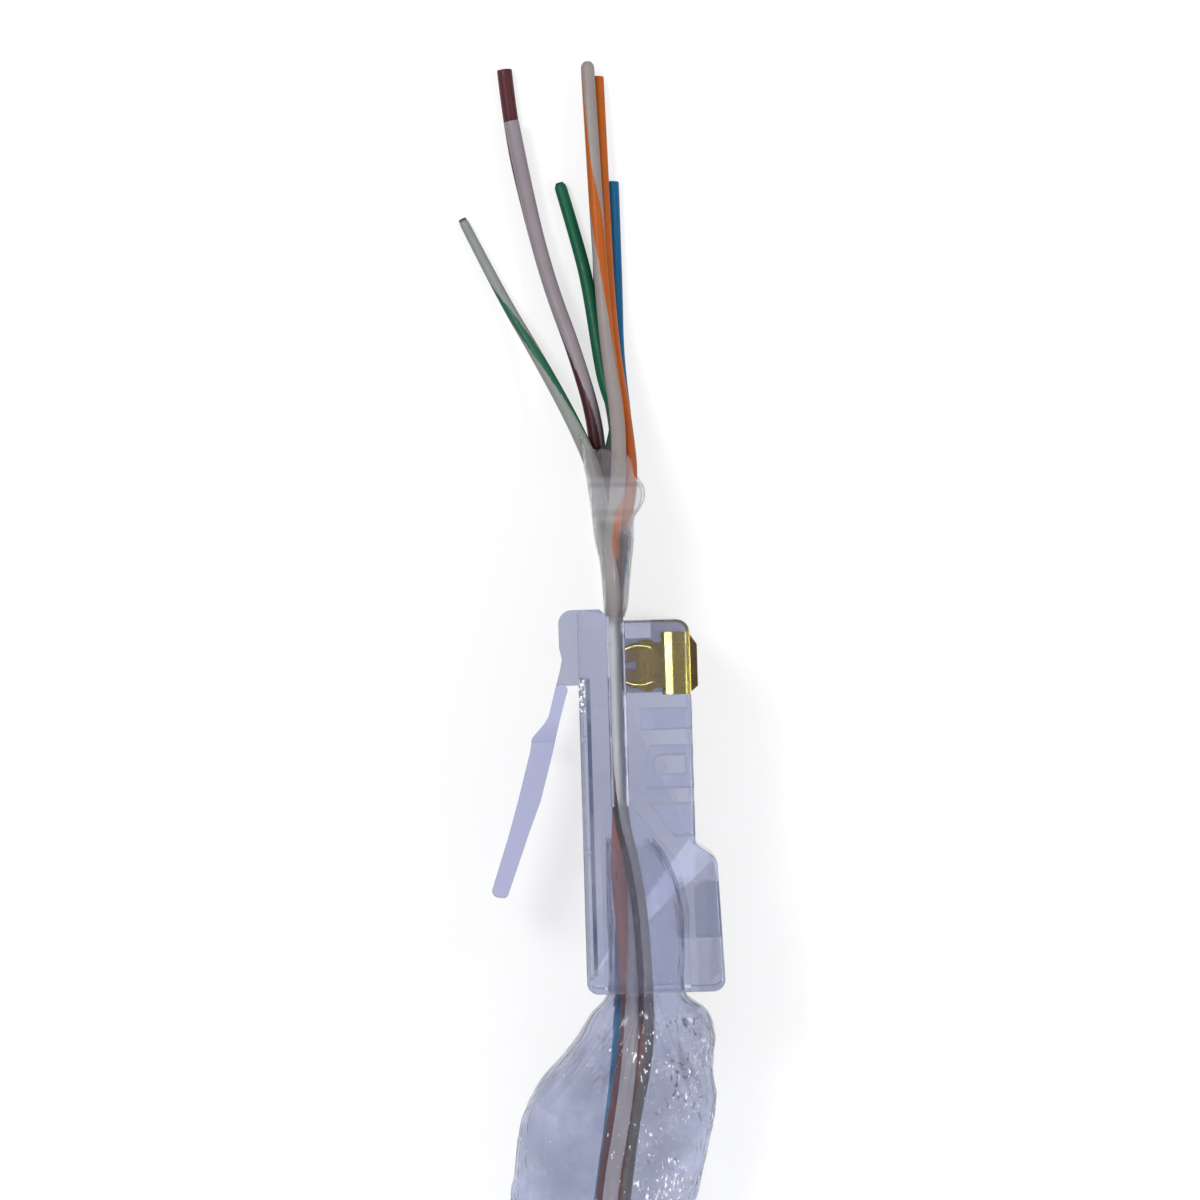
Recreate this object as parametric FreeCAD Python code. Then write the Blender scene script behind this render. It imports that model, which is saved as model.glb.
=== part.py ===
import FreeCAD, Part
import math
import os

from FreeCAD import Vector

# A pass-through modular plug with eight positions, wired but not yet crimped. Millimetres.
# The plug lies on its side. +Y runs from the cable towards the nose, -X is the latch side,
# +X is the contact side and +Z is across the plug's width. The origin is on the lower side
# face, at the middle of the plug's length and of its front body's thickness.
# Profiles are drawn in plug terms: "back" is the distance behind the nose and "rise" is the
# distance from the latch-side face towards the contacts.

# Housing
LENGTH = 22.6
WIDTH = 11.68
BODY_DEPTH = 6.60
REAR_DEPTH_AT_SHOULDER = 7.85
REAR_DEPTH_AT_MOUTH = 8.15
SHOULDER_BACK = 13.9
SHOULDER_RUN = 0.9
SHOULDER_RADIUS = 0.8
NOSE_STEP = 0.7
NOSE_LIP = 0.9
NOSE_RADIUS = 0.8
MOUTH_RADIUS = 0.7
SIDE_EDGE_RADIUS = 0.25

# Wire holes and cavity
POSITIONS = 8
PITCH = 1.02
WIRE_RISE = 2.25
WIRE_DIAMETER = 0.90
CORE_DIAMETER = 0.50
CORE_CLEARANCE = 0.01
HOLE_DIAMETER = 1.10
CAVITY_FRONT = 11.6
CAVITY_WALL = 1.05
CAVITY_FLOOR = 1.05
CAVITY_MOUTH_TOP = 6.10
CAVITY_STRAIGHT = 5.0
CAVITY_SILL_RISE = 0.35
CAVITY_SILL_RUN = 2.0
FUNNEL_THROAT_TOP = 2.90
FUNNEL_KNEE_RISE = 1.15
FUNNEL_KNEE_RUN = 1.6
FUNNEL_BROW_DROP = 0.55
FUNNEL_BROW_RUN = 3.4

# Contacts
CONTACT_THICKNESS = 0.35
CONTACT_CLEARANCE = 0.03
CONTACT_FRONT = 1.45
CONTACT_BACK = 5.10
CONTACT_NECK_FRONT = 2.05
CONTACT_NECK_BACK = 4.70
CONTACT_SHOULDER_RISE = 4.95
CONTACT_CROWN = 0.42
CROWN_FRONT_RUN = 0.75
CROWN_BACK_RUN = 0.45
CROWN_DROP = 0.1
BULGE_RISE = 4.0
BULGE_RADIUS = 0.77
BULGE_INSET = 0.55
TINE_CLEARANCE = 0.02
TINE_BEVEL_RISE = 0.45
TINE_BEVEL_RUN = 0.25
TINE_GAP_MOUTH = 0.24
TINE_GAP_WIDTH = 0.60
TINE_GAP_DEPTH = 0.70
SLOT_FLOOR_RISE = 4.35
SLOT_SIDE_ROOM = 0.25

# Pockets in the contact side
POCKET_WIDTH = 8.6
GUIDE_POCKET_FRONT = 5.94
GUIDE_POCKET_BACK = 7.18
GUIDE_POCKET_FLOOR = 3.56
BAR_POCKET_FRONT = 8.15
BAR_POCKET_BACK = 10.65
BAR_POCKET_FLOOR = 3.80
BAR_POCKET_BEVEL_RISE = 0.3
BAR_POCKET_BEVEL_RUN = 0.9
BAR_THICKNESS = 1.15
BAR_CLEARANCE = 0.55
BAR_SUNK = 0.4
BAR_RADIUS = 0.3
ANCHOR_POCKET_FRONT = 11.6
ANCHOR_POCKET_BACK = 13.5
ANCHOR_FLOOR_FRONT = 4.0
ANCHOR_FLOOR_BACK = 5.4
WINDOW_FRONT = 16.2
WINDOW_BACK = 19.5
WINDOW_WIDTH = 6.0
WINDOW_DEPTH = 1.35
WINDOW_RADIUS = 0.6

# Latch root, latch and the relief groove beneath it; "proud" is outward from the latch-side face
ROOT_PROUD = 1.1
ROOT_RADIUS = 0.8
ROOT_INSET = 0.5
WAIST_FRONT = 2.2
WAIST_MIDDLE = 2.9
WAIST_BACK = 3.6
WAIST_DEPTH = 0.15
LATCH_WIDTH = 6.17
LATCH_THICKNESS = 0.76
HINGE_BACK = 4.75
HINGE_PROUD = 1.05
HINGE_CLEARANCE = 0.02
ARM_END_BACK = 6.25
ARM_END_PROUD = 1.83
ARM_INNER_PROUD = 1.22
LATCH_STEP_BACK = 6.7
LATCH_STEP_PROUD = 2.13
LATCH_SHOULDER_BACK = 7.75
LATCH_SHOULDER_PROUD = 2.85
LATCH_SHOULDER_SLOPE = 0.25
LEVER_WIDTH = 3.25
LEVER_DEPTH = 1.36
LEVER_BACK = 8.35
LEVER_PROUD = 3.0
LEVER_BEND_BACK = 11.2
LEVER_BEND_PROUD = 3.79
LEVER_KNEE_BACK = 13.1
LEVER_KNEE_PROUD = 4.36
LEVER_KNEE_DEPTH = 1.18
LEVER_TIP_BACK = 16.95
LEVER_TIP_PROUD = 5.6
LEVER_TIP_DEPTH = 1.0
LEVER_TIP_SLOPE = 0.15
LEVER_OUTER_RADIUS = 0.4
LEVER_INNER_RADIUS = 0.3
GROOVE_DEPTH = 0.45
GROOVE_FRONT = 4.0
LATCH_GAP_BACK = 4.45
GROOVE_BACK = 21.8
GROOVE_WIDTH = 6.9
RIB_WIDTH = 0.3
RIB_PLACES = [7.5, 14.2]

# Film
FILM_THICKNESS = 0.12
SLEEVE_CORNER = 1.2
WRAP_CORNER = 0.6

# Cable
CABLE_DIAMETER = 5.5
HANK_RUN = 60.0
HANK_FOLD_RADIUS = 3 * CABLE_DIAMETER
HANK_TURNS = 2
HANK_CORNER = 0.3 * CABLE_DIAMETER
TIE_WIDTH = 6.0
TIE_THICKNESS = 0.6
TIE_CORNER = 1.5
TIE_ALONG_RUN = 0.5

# The routes of the conductors, from the cable's jacket, through the plug, to their cut ends.
ROUTES = {
    "white_orange": [
        (-2.75, -27.9, 4.65), (-1.54, -19.7, 6.04), (-0.60, -11.7, 7.40), (-0.70, -7.45, 8.70),
        (-1.05, -3.2, 9.41), (-1.09, 5.3, 9.41), (-1.05, 13.3, 9.41), (-0.90, 17.8, 7.15),
        (-1.10, 22.8, 4.00), (-1.50, 30.3, 1.52), (-1.66, 37.0, 1.30), (-1.80, 44.05, 0.60),
    ],
    "orange": [
        (-3.35, -27.9, 3.85), (-2.14, -19.7, 5.24), (-1.20, -11.7, 6.60), (-1.10, -7.45, 7.75),
        (-1.05, -3.2, 8.39), (-1.09, 5.3, 8.39), (-1.05, 13.3, 8.39), (0.15, 17.8, 6.35),
        (-0.12, 22.8, 4.02), (-0.52, 30.3, 1.54), (-0.70, 36.8, 1.40), (-0.80, 43.2, 0.60),
    ],
    "white_green": [
        (-2.15, -27.9, 3.85), (-0.94, -19.7, 5.24), (0.00, -11.7, 6.60), (-0.20, -7.45, 7.10),
        (-1.05, -3.2, 7.37), (-1.09, 5.3, 7.37), (-1.05, 13.3, 7.37), (-1.95, 17.8, 6.05),
        (-3.62, 22.8, 3.50), (-7.45, 30.3, 0.55), (-9.58, 34.9, 0.46),
    ],
    "blue": [
        (-3.35, -27.9, 2.75), (-2.14, -19.7, 4.14), (-1.20, -11.7, 5.50), (-1.00, -7.45, 6.45),
        (-1.05, -3.2, 6.35), (-1.09, 5.3, 6.35), (-1.05, 13.3, 6.35), (0.16, 17.8, 5.28),
        (-0.30, 22.8, 2.98), (-0.02, 30.3, 0.50), (-0.26, 36.9, 0.46),
    ],
    "white_blue": [
        (-2.25, -27.9, 2.75), (-1.04, -19.7, 4.14), (-0.10, -11.7, 5.50), (-0.20, -7.45, 5.80),
        (-1.05, -3.2, 5.33), (-1.09, 5.3, 5.33), (-1.05, 13.3, 5.33), (-0.72, 17.8, 4.60),
        (-1.30, 22.8, 3.00), (-1.08, 29.3, 0.72), (-1.20, 35.0, 0.46),
    ],
    "green": [
        (-2.15, -27.9, 1.70), (-0.94, -19.7, 3.09), (0.00, -11.7, 4.45), (-0.35, -7.45, 4.72),
        (-1.05, -3.2, 4.31), (-1.09, 5.3, 4.31), (-1.05, 13.3, 4.31), (-0.60, 17.8, 3.58),
        (-1.95, 22.8, 2.15), (-2.25, 30.3, 0.50), (-3.62, 37.1, 0.46),
    ],
    "white_brown": [
        (-3.30, -27.9, 1.65), (-2.09, -19.7, 3.04), (-1.15, -11.7, 4.40), (-1.05, -7.45, 3.90),
        (-1.05, -3.2, 3.29), (-1.09, 5.3, 3.29), (-1.05, 13.3, 3.29), (-2.02, 17.8, 3.20),
        (-2.22, 22.8, 3.64), (-4.20, 30.3, 1.50), (-5.60, 36.0, 1.42), (-6.40, 40.3, 1.38),
    ],
    "brown": [
        (-2.70, -27.9, 0.85), (-1.49, -19.7, 2.24), (-0.55, -11.7, 3.60), (-0.60, -7.45, 2.95),
        (-1.05, -3.2, 2.27), (-1.09, 5.3, 2.27), (-1.05, 13.3, 2.27), (-2.10, 17.8, 2.20),
        (-2.85, 22.8, 2.75), (-4.35, 30.3, 0.50), (-5.60, 36.8, 0.46), (-6.78, 43.8, 0.46),
    ],
}

# The cable, from the end of its jacket to where the hank's first run begins.
CABLE_ROUTE = [(-2.70, -27.5, 2.75), (-4.40, -38.5, 2.75), (-4.62, -49.5, 2.75), (-4.50, -60.0, 2.75)]

# The film behind the plug as (y, left, right, low, high), from inside the mouth to its free edge.
FILM_SLEEVE = [
    (-2.7, -2.05, 1.05, 1.40, 10.25),
    (-3.9, -2.10, 1.95, 1.30, 10.35),
    (-6.4, -2.12, 2.55, 1.30, 10.35),
    (-11.55, -2.10, 2.60, 1.25, 10.40),
    (-12.6, -3.30, 3.75, 0.35, 11.20),
    (-14.2, -4.80, 4.00, 0.15, 11.10),
    (-16.5, -6.30, 3.95, 0.15, 10.60),
    (-20.0, -7.80, 3.60, 0.12, 9.60),
    (-23.5, -8.20, 3.00, 0.12, 8.60),
    (-27.3, -7.60, 2.00, 0.12, 7.00),
]

# The same for the wrap in front of the nose.
FILM_WRAP = [
    (11.45, -1.70, -0.40, 1.50, 10.20),
    (13.8, -1.90, -0.20, 1.45, 10.10),
    (17.3, -2.75, 0.75, 1.45, 8.30),
    (19.6, -3.25, 0.75, 1.55, 7.00),
]

REACH = 2 * LENGTH  # longer than any cut needs
BEYOND = 1.0  # how far an open cut runs past a face


def x_at(rise):
    return rise - BODY_DEPTH / 2


def y_at(back):
    return LENGTH / 2 - back


def profile(points):
    """A wire in the plane Z = 0 through (back, rise) points."""
    corners = [Vector(x_at(rise), y_at(back), 0) for back, rise in points]
    return Part.makePolygon(corners + corners[:1])


def slab(points, width, middle=WIDTH / 2):
    """A profile pushed through width along Z, about the given middle."""
    face = Part.Face(profile(points))
    face.translate(Vector(0, 0, middle - width / 2))
    return face.extrude(Vector(0, 0, width))


def rounded(shape, radius, chosen):
    """The shape with a fillet on each straight edge along Z that chosen accepts."""
    edges = []
    for edge in shape.Edges:
        low, high = edge.Vertexes[0].Point, edge.Vertexes[-1].Point
        along_z = abs(high.x - low.x) + abs(high.y - low.y) < 1e-6
        if along_z and chosen(LENGTH / 2 - low.y, low.x + BODY_DEPTH / 2):
            edges.append(edge)
    return shape.makeFillet(radius, edges)


def near(back, rise, reach=0.05):
    """Accepts the edge that stands at one (back, rise) place."""
    return lambda at_back, at_rise: math.hypot(at_back - back, at_rise - rise) < reach


def position_heights():
    """The heights of the eight positions, the first uppermost."""
    top = WIDTH / 2 + (POSITIONS - 1) * PITCH / 2
    return [top - number * PITCH for number in range(POSITIONS)]


# Housing


def housing_body():
    shoulder_end = SHOULDER_BACK + SHOULDER_RUN
    body = slab(
        [
            (0, 0),
            (0, WIRE_RISE - NOSE_LIP),
            (NOSE_STEP / 2, WIRE_RISE - HOLE_DIAMETER / 2),
            (NOSE_STEP, WIRE_RISE),
            (NOSE_STEP, BODY_DEPTH),
            (SHOULDER_BACK, BODY_DEPTH),
            (shoulder_end, REAR_DEPTH_AT_SHOULDER),
            (LENGTH, REAR_DEPTH_AT_MOUTH),
            (LENGTH, 0),
        ],
        WIDTH,
    )
    body = rounded(body, NOSE_RADIUS, near(NOSE_STEP, BODY_DEPTH))
    body = rounded(body, SHOULDER_RADIUS, near(shoulder_end, REAR_DEPTH_AT_SHOULDER))
    body = rounded(body, SHOULDER_RADIUS / 2, near(SHOULDER_BACK, BODY_DEPTH))
    body = rounded(body, MOUTH_RADIUS, near(LENGTH, REAR_DEPTH_AT_MOUTH))
    body = rounded(body, MOUTH_RADIUS, near(LENGTH, 0))
    return body.makeFillet(SIDE_EDGE_RADIUS, side_edges(body))


def side_edges(body):
    """The long edges that bound the two side faces."""
    edges = []
    for edge in body.Edges:
        heights = [vertex.Z for vertex in edge.Vertexes]
        flat = max(heights) - min(heights) < 1e-6
        if flat and edge.CenterOfMass.y < y_at(NOSE_STEP + NOSE_RADIUS):
            edges.append(edge)
    return edges


def latch_root():
    """The block on the nose that the latch grows from, waisted behind its rounded front."""
    block = slab(
        [
            (0, ROOT_INSET),
            (0, -ROOT_PROUD),
            (WAIST_FRONT, -ROOT_PROUD),
            (WAIST_MIDDLE, -ROOT_PROUD + WAIST_DEPTH),
            (WAIST_BACK, -ROOT_PROUD),
            (HINGE_BACK, -HINGE_PROUD - LATCH_THICKNESS / 2),
            (HINGE_BACK, ROOT_INSET),
        ],
        LATCH_WIDTH,
    )
    block = rounded(block, ROOT_RADIUS, near(0, -ROOT_PROUD))
    knuckle_seat = Part.makeCylinder(
        LATCH_THICKNESS / 2 + HINGE_CLEARANCE,
        LATCH_WIDTH,
        Vector(x_at(-HINGE_PROUD), y_at(HINGE_BACK), (WIDTH - LATCH_WIDTH) / 2),
    )
    return block.cut(knuckle_seat)


def relief_groove():
    """The shallow channel under the latch, crossed by two low ribs. It starts under the latch's root."""
    groove = slab(
        [
            (LATCH_GAP_BACK, -BEYOND),
            (LATCH_GAP_BACK, 0),
            (GROOVE_FRONT, 0),
            (GROOVE_FRONT, GROOVE_DEPTH),
            (GROOVE_BACK, GROOVE_DEPTH),
            (GROOVE_BACK, -BEYOND),
        ],
        GROOVE_WIDTH,
    )
    for place in RIB_PLACES:
        rib = slab(
            [
                (place, GROOVE_DEPTH / 2),
                (place, GROOVE_DEPTH),
                (place + RIB_WIDTH, GROOVE_DEPTH),
                (place + RIB_WIDTH, GROOVE_DEPTH / 2),
            ],
            GROOVE_WIDTH,
        )
        groove = groove.cut(rib)
    return groove


def cavity():
    """The mouth for the cable and the funnel that leads the conductors to their holes."""
    sill = CAVITY_FLOOR + CAVITY_SILL_RISE
    hole_low = WIRE_RISE - HOLE_DIAMETER / 2
    return slab(
        [
            (CAVITY_FRONT, hole_low),
            (CAVITY_FRONT, FUNNEL_THROAT_TOP),
            (CAVITY_FRONT + FUNNEL_KNEE_RUN, FUNNEL_THROAT_TOP + FUNNEL_KNEE_RISE),
            (CAVITY_FRONT + FUNNEL_BROW_RUN, CAVITY_MOUTH_TOP - FUNNEL_BROW_DROP),
            (LENGTH - CAVITY_STRAIGHT, CAVITY_MOUTH_TOP),
            (LENGTH + BEYOND, CAVITY_MOUTH_TOP),
            (LENGTH + BEYOND, CAVITY_FLOOR),
            (CAVITY_FRONT + hole_low - sill + CAVITY_SILL_RUN, CAVITY_FLOOR),
            (CAVITY_FRONT + hole_low - sill, sill),
        ],
        WIDTH - 2 * CAVITY_WALL,
    )


def wire_holes():
    holes = []
    for height in position_heights():
        start = Vector(x_at(WIRE_RISE), y_at(CAVITY_FRONT + HOLE_DIAMETER / 2), height)
        holes.append(Part.makeCylinder(HOLE_DIAMETER / 2, REACH, start, Vector(0, 1, 0)))
    return holes


def contact_slots():
    """A slot for each contact: open to the nose above its floor, and down to the wire hole."""
    slots = []
    gap = CONTACT_CLEARANCE
    front = CONTACT_NECK_FRONT - SLOT_SIDE_ROOM - gap
    back = CONTACT_NECK_BACK + SLOT_SIDE_ROOM + gap
    outline = [
        (-BEYOND, SLOT_FLOOR_RISE),
        (-BEYOND, BODY_DEPTH + BEYOND),
        (CONTACT_BACK + gap, BODY_DEPTH + BEYOND),
        (CONTACT_BACK + gap, CONTACT_SHOULDER_RISE - gap),
        (back, CONTACT_SHOULDER_RISE - gap),
        (back, WIRE_RISE),
        (front, WIRE_RISE),
        (front, SLOT_FLOOR_RISE),
    ]
    for height in position_heights():
        slots.append(slab(outline, CONTACT_THICKNESS + 2 * gap, height))
    return slots


def pockets():
    """The openings in the contact side in front of the thick rear block."""
    above = BODY_DEPTH + BEYOND
    guide = slab(
        [
            (GUIDE_POCKET_FRONT, GUIDE_POCKET_FLOOR),
            (GUIDE_POCKET_FRONT, above),
            (GUIDE_POCKET_BACK, above),
            (GUIDE_POCKET_BACK, GUIDE_POCKET_FLOOR),
        ],
        POCKET_WIDTH,
    )
    bar_pocket = slab(
        [
            (BAR_POCKET_FRONT, BAR_POCKET_FLOOR + BAR_POCKET_BEVEL_RISE),
            (BAR_POCKET_FRONT, above),
            (BAR_POCKET_BACK, above),
            (BAR_POCKET_BACK, BAR_POCKET_FLOOR),
            (BAR_POCKET_FRONT + BAR_POCKET_BEVEL_RUN, BAR_POCKET_FLOOR),
        ],
        POCKET_WIDTH,
    )
    bar_front = BAR_POCKET_FRONT + BAR_CLEARANCE
    bar_back = bar_front + BAR_THICKNESS
    bar_low = BAR_POCKET_FLOOR + BAR_CLEARANCE
    bar_top = BODY_DEPTH - BAR_SUNK
    bar = slab(
        [(bar_front, bar_low), (bar_front, bar_top), (bar_back, bar_top), (bar_back, bar_low)],
        POCKET_WIDTH,
    )
    bar = rounded(bar, BAR_RADIUS, near(bar_front, bar_low))
    anchor = slab(
        [
            (ANCHOR_POCKET_FRONT, ANCHOR_FLOOR_FRONT),
            (ANCHOR_POCKET_FRONT, above),
            (ANCHOR_POCKET_BACK, above),
            (ANCHOR_POCKET_BACK, ANCHOR_FLOOR_BACK),
        ],
        POCKET_WIDTH,
    )
    return [guide, bar_pocket.cut(bar), anchor]


def anchor_window():
    """The recess over the jacket anchor, rounded at its inner front corner."""
    top = REAR_DEPTH_AT_MOUTH + BEYOND
    floor = REAR_DEPTH_AT_SHOULDER - WINDOW_DEPTH
    window = slab(
        [(WINDOW_FRONT, floor), (WINDOW_FRONT, top), (WINDOW_BACK, top), (WINDOW_BACK, floor)],
        WINDOW_WIDTH,
    )
    return rounded(window, WINDOW_RADIUS, near(WINDOW_FRONT, floor))


def make_housing():
    housing = housing_body().fuse(latch_root())
    for cut in [relief_groove(), cavity(), anchor_window()] + pockets():
        housing = housing.cut(cut)
    housing = housing.cut(Part.makeCompound(wire_holes()))
    housing = housing.cut(Part.makeCompound(contact_slots()))
    return housing.removeSplitter()


# Latch


def latch_profile():
    """Flexing arm, outward step with the locking shoulder, and the lever, as (back, rise)."""
    half = LATCH_THICKNESS / 2
    outer = [
        (HINGE_BACK, -HINGE_PROUD - half),
        (ARM_END_BACK, -ARM_END_PROUD),
        (LATCH_STEP_BACK, -LATCH_STEP_PROUD),
        (LATCH_SHOULDER_BACK - LATCH_SHOULDER_SLOPE, -LATCH_SHOULDER_PROUD),
        (LEVER_BACK, -LEVER_PROUD),
        (LEVER_BEND_BACK, -LEVER_BEND_PROUD),
        (LEVER_KNEE_BACK, -LEVER_KNEE_PROUD),
        (LEVER_TIP_BACK - LEVER_TIP_SLOPE, -LEVER_TIP_PROUD),
    ]
    inner = [
        (LEVER_TIP_BACK, -LEVER_TIP_PROUD + LEVER_TIP_DEPTH),
        (LEVER_KNEE_BACK, -LEVER_KNEE_PROUD + LEVER_KNEE_DEPTH),
        (LEVER_BEND_BACK, -LEVER_BEND_PROUD + LEVER_DEPTH),
        (LEVER_BACK, -LEVER_PROUD + LEVER_DEPTH),
        (ARM_END_BACK + half, -ARM_INNER_PROUD),
        (HINGE_BACK, -HINGE_PROUD + half),
    ]
    return outer + inner


def make_latch():
    shape = slab(latch_profile(), LEVER_WIDTH)
    wide = slab(latch_profile(), LATCH_WIDTH)
    before_shoulder = slab(
        [(0, 0), (0, -REACH), (LATCH_SHOULDER_BACK, -REACH), (LATCH_SHOULDER_BACK, 0)],
        LATCH_WIDTH,
    )
    shape = shape.fuse(wide.common(before_shoulder))
    knuckle = Part.makeCylinder(
        LATCH_THICKNESS / 2,
        LATCH_WIDTH,
        Vector(x_at(-HINGE_PROUD), y_at(HINGE_BACK), (WIDTH - LATCH_WIDTH) / 2),
    )
    shape = shape.fuse(knuckle).removeSplitter()
    outer_corner = near(LEVER_TIP_BACK - LEVER_TIP_SLOPE, -LEVER_TIP_PROUD)
    inner_corner = near(LEVER_TIP_BACK, -LEVER_TIP_PROUD + LEVER_TIP_DEPTH)
    shape = rounded(shape, LEVER_OUTER_RADIUS, outer_corner)
    return rounded(shape, LEVER_INNER_RADIUS, inner_corner)


# Contacts


def tine_tip():
    """How far the tines stand off the latch-side face: just over the wires."""
    return WIRE_RISE + WIRE_DIAMETER / 2 + TINE_CLEARANCE


def make_contact(height):
    """A blade: crowned head, waisted body with a bulge, and two piercing tines."""
    crown_top = BODY_DEPTH + CONTACT_CROWN
    crown_edge = BODY_DEPTH - CROWN_DROP
    tip = tine_tip()
    blade = slab(
        [
            (CONTACT_FRONT, CONTACT_SHOULDER_RISE),
            (CONTACT_FRONT, crown_edge),
            (CONTACT_FRONT + CROWN_FRONT_RUN, crown_top),
            (CONTACT_BACK - CROWN_BACK_RUN, crown_top),
            (CONTACT_BACK, crown_edge),
            (CONTACT_BACK, CONTACT_SHOULDER_RISE),
            (CONTACT_NECK_BACK, CONTACT_SHOULDER_RISE),
            (CONTACT_NECK_BACK, tip + TINE_BEVEL_RISE),
            (CONTACT_NECK_BACK - TINE_BEVEL_RUN, tip),
            (CONTACT_NECK_FRONT + TINE_BEVEL_RUN, tip),
            (CONTACT_NECK_FRONT, tip + TINE_BEVEL_RISE),
            (CONTACT_NECK_FRONT, CONTACT_SHOULDER_RISE),
        ],
        CONTACT_THICKNESS,
        height,
    )
    for back in (CONTACT_NECK_FRONT + BULGE_INSET, CONTACT_NECK_BACK - BULGE_INSET):
        bulge = Part.makeCylinder(
            BULGE_RADIUS,
            CONTACT_THICKNESS,
            Vector(x_at(BULGE_RISE), y_at(back), height - CONTACT_THICKNESS / 2),
        )
        blade = blade.fuse(bulge)
    return blade.cut(tine_gap(height)).removeSplitter()


def tine_gap(height):
    """The notch between the tines, narrow at its mouth."""
    tip = tine_tip()
    middle = (CONTACT_NECK_FRONT + CONTACT_NECK_BACK) / 2
    return slab(
        [
            (middle - TINE_GAP_MOUTH / 2, tip - TINE_CLEARANCE),
            (middle - TINE_GAP_MOUTH / 2, tip),
            (middle - TINE_GAP_WIDTH / 2, tip + TINE_GAP_DEPTH),
            (middle + TINE_GAP_WIDTH / 2, tip + TINE_GAP_DEPTH),
            (middle + TINE_GAP_MOUTH / 2, tip),
            (middle + TINE_GAP_MOUTH / 2, tip - TINE_CLEARANCE),
        ],
        2 * CONTACT_THICKNESS,
        height,
    )


# Conductors and cable


def rounded_path(points, name):
    """Straight runs joined by tangent arcs, each as large as its two runs allow."""
    corners = [Vector(*point) for point in points]
    edges = []
    start = corners[0]
    radii = []
    for before, corner, after in zip(corners, corners[1:], corners[2:]):
        back = (before - corner).normalize()
        ahead = (after - corner).normalize()
        turn = math.pi - back.getAngle(ahead)
        reach = 0.45 * min((before - corner).Length, (after - corner).Length)
        radius = reach / math.tan(turn / 2)
        radii.append(round(radius, 1))
        first = corner + back * reach
        last = corner + ahead * reach
        inward = (back + ahead).normalize()
        middle = corner + inward * (radius / math.cos(turn / 2) - radius)
        edges.append(Part.LineSegment(start, first).toShape())
        edges.append(Part.Arc(first, middle, last).toShape())
        start = last
    edges.append(Part.LineSegment(start, corners[-1]).toShape())
    path = Part.Wire(edges)
    print(name, "length", round(path.Length, 2), "radii", radii)
    return path


def swept(path, outside, inside=0.0):
    """A round solid along a path, with a bore if an inside diameter is given."""
    start = path.Edges[0].Vertexes[0].Point
    direction = path.Edges[0].tangentAt(path.Edges[0].FirstParameter)
    section = Part.Face(Part.Wire(Part.makeCircle(outside / 2, start, direction)))
    if inside:
        bore = Part.Face(Part.Wire(Part.makeCircle(inside / 2, start, direction)))
        section = section.cut(bore).Faces[0]
    solid = path.makePipe(section)
    expected = math.pi / 4 * (outside**2 - inside**2) * path.Length
    if abs(abs(solid.Volume) / expected - 1) > 0.02:
        print("volume differs", solid.Volume, expected)
    return solid


def loop_face(half_width, half_length, centre, height):
    """A flat face with straight sides along Y and round ends, at a height."""
    low, high = centre.y - half_length, centre.y + half_length
    left, right = centre.x - half_width, centre.x + half_width
    sides = [
        Part.LineSegment(Vector(left, high, height), Vector(left, low, height)),
        Part.Arc(
            Vector(left, low, height),
            Vector(centre.x, low - half_width, height),
            Vector(right, low, height),
        ),
        Part.LineSegment(Vector(right, low, height), Vector(right, high, height)),
        Part.Arc(
            Vector(right, high, height),
            Vector(centre.x, high + half_width, height),
            Vector(left, high, height),
        ),
    ]
    return Part.Face(Part.Wire([side.toShape() for side in sides]))


def hank_centre():
    """The middle of the hank: its first run starts where the cable's route ends."""
    start = Vector(*CABLE_ROUTE[-1])
    return Vector(start.x + HANK_FOLD_RADIUS, start.y - HANK_RUN / 2, 0)


def edges_along_y(box):
    return [edge for edge in box.Edges if abs(edge.Vertexes[0].Y - edge.Vertexes[-1].Y) > TIE_WIDTH / 2]


def make_tie():
    """A band round the turns on the far side of the hank."""
    centre = hank_centre()
    middle = Vector(centre.x + HANK_FOLD_RADIUS, centre.y + HANK_RUN * (TIE_ALONG_RUN - 0.5), 0)
    outside = Part.makeBox(
        CABLE_DIAMETER + 2 * TIE_THICKNESS,
        TIE_WIDTH,
        HANK_TURNS * CABLE_DIAMETER + TIE_THICKNESS,
        middle - Vector(CABLE_DIAMETER / 2 + TIE_THICKNESS, TIE_WIDTH / 2, 0),
    )
    inside = Part.makeBox(
        CABLE_DIAMETER,
        TIE_WIDTH,
        HANK_TURNS * CABLE_DIAMETER - TIE_THICKNESS,
        middle - Vector(CABLE_DIAMETER / 2, TIE_WIDTH / 2, -TIE_THICKNESS),
    )
    outside = outside.makeFillet(TIE_CORNER, edges_along_y(outside))
    inside = inside.makeFillet(TIE_CORNER - TIE_THICKNESS / 2, edges_along_y(inside))
    return outside.cut(inside)


def make_hank(tie):
    """The outer shape of the turns, one upon another."""
    height = HANK_TURNS * CABLE_DIAMETER
    half = CABLE_DIAMETER / 2
    outer = loop_face(HANK_FOLD_RADIUS + half, HANK_RUN / 2, hank_centre(), 0)
    inner = loop_face(HANK_FOLD_RADIUS - half, HANK_RUN / 2, hank_centre(), 0)
    ring = outer.cut(inner).extrude(Vector(0, 0, height))
    edges = [edge for edge in ring.Edges if abs(edge.Vertexes[0].Z - edge.Vertexes[-1].Z) < 1e-6]
    ring = ring.makeFillet(HANK_CORNER, edges)
    return ring.cut(tie)


def make_cable(hank):
    """The cable from the end of its jacket to the hank, ending against the hank's side."""
    whole = swept(rounded_path(CABLE_ROUTE, "cable"), CABLE_DIAMETER)
    return max(whole.cut(hank).Solids, key=lambda solid: solid.Volume)


# Film


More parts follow.
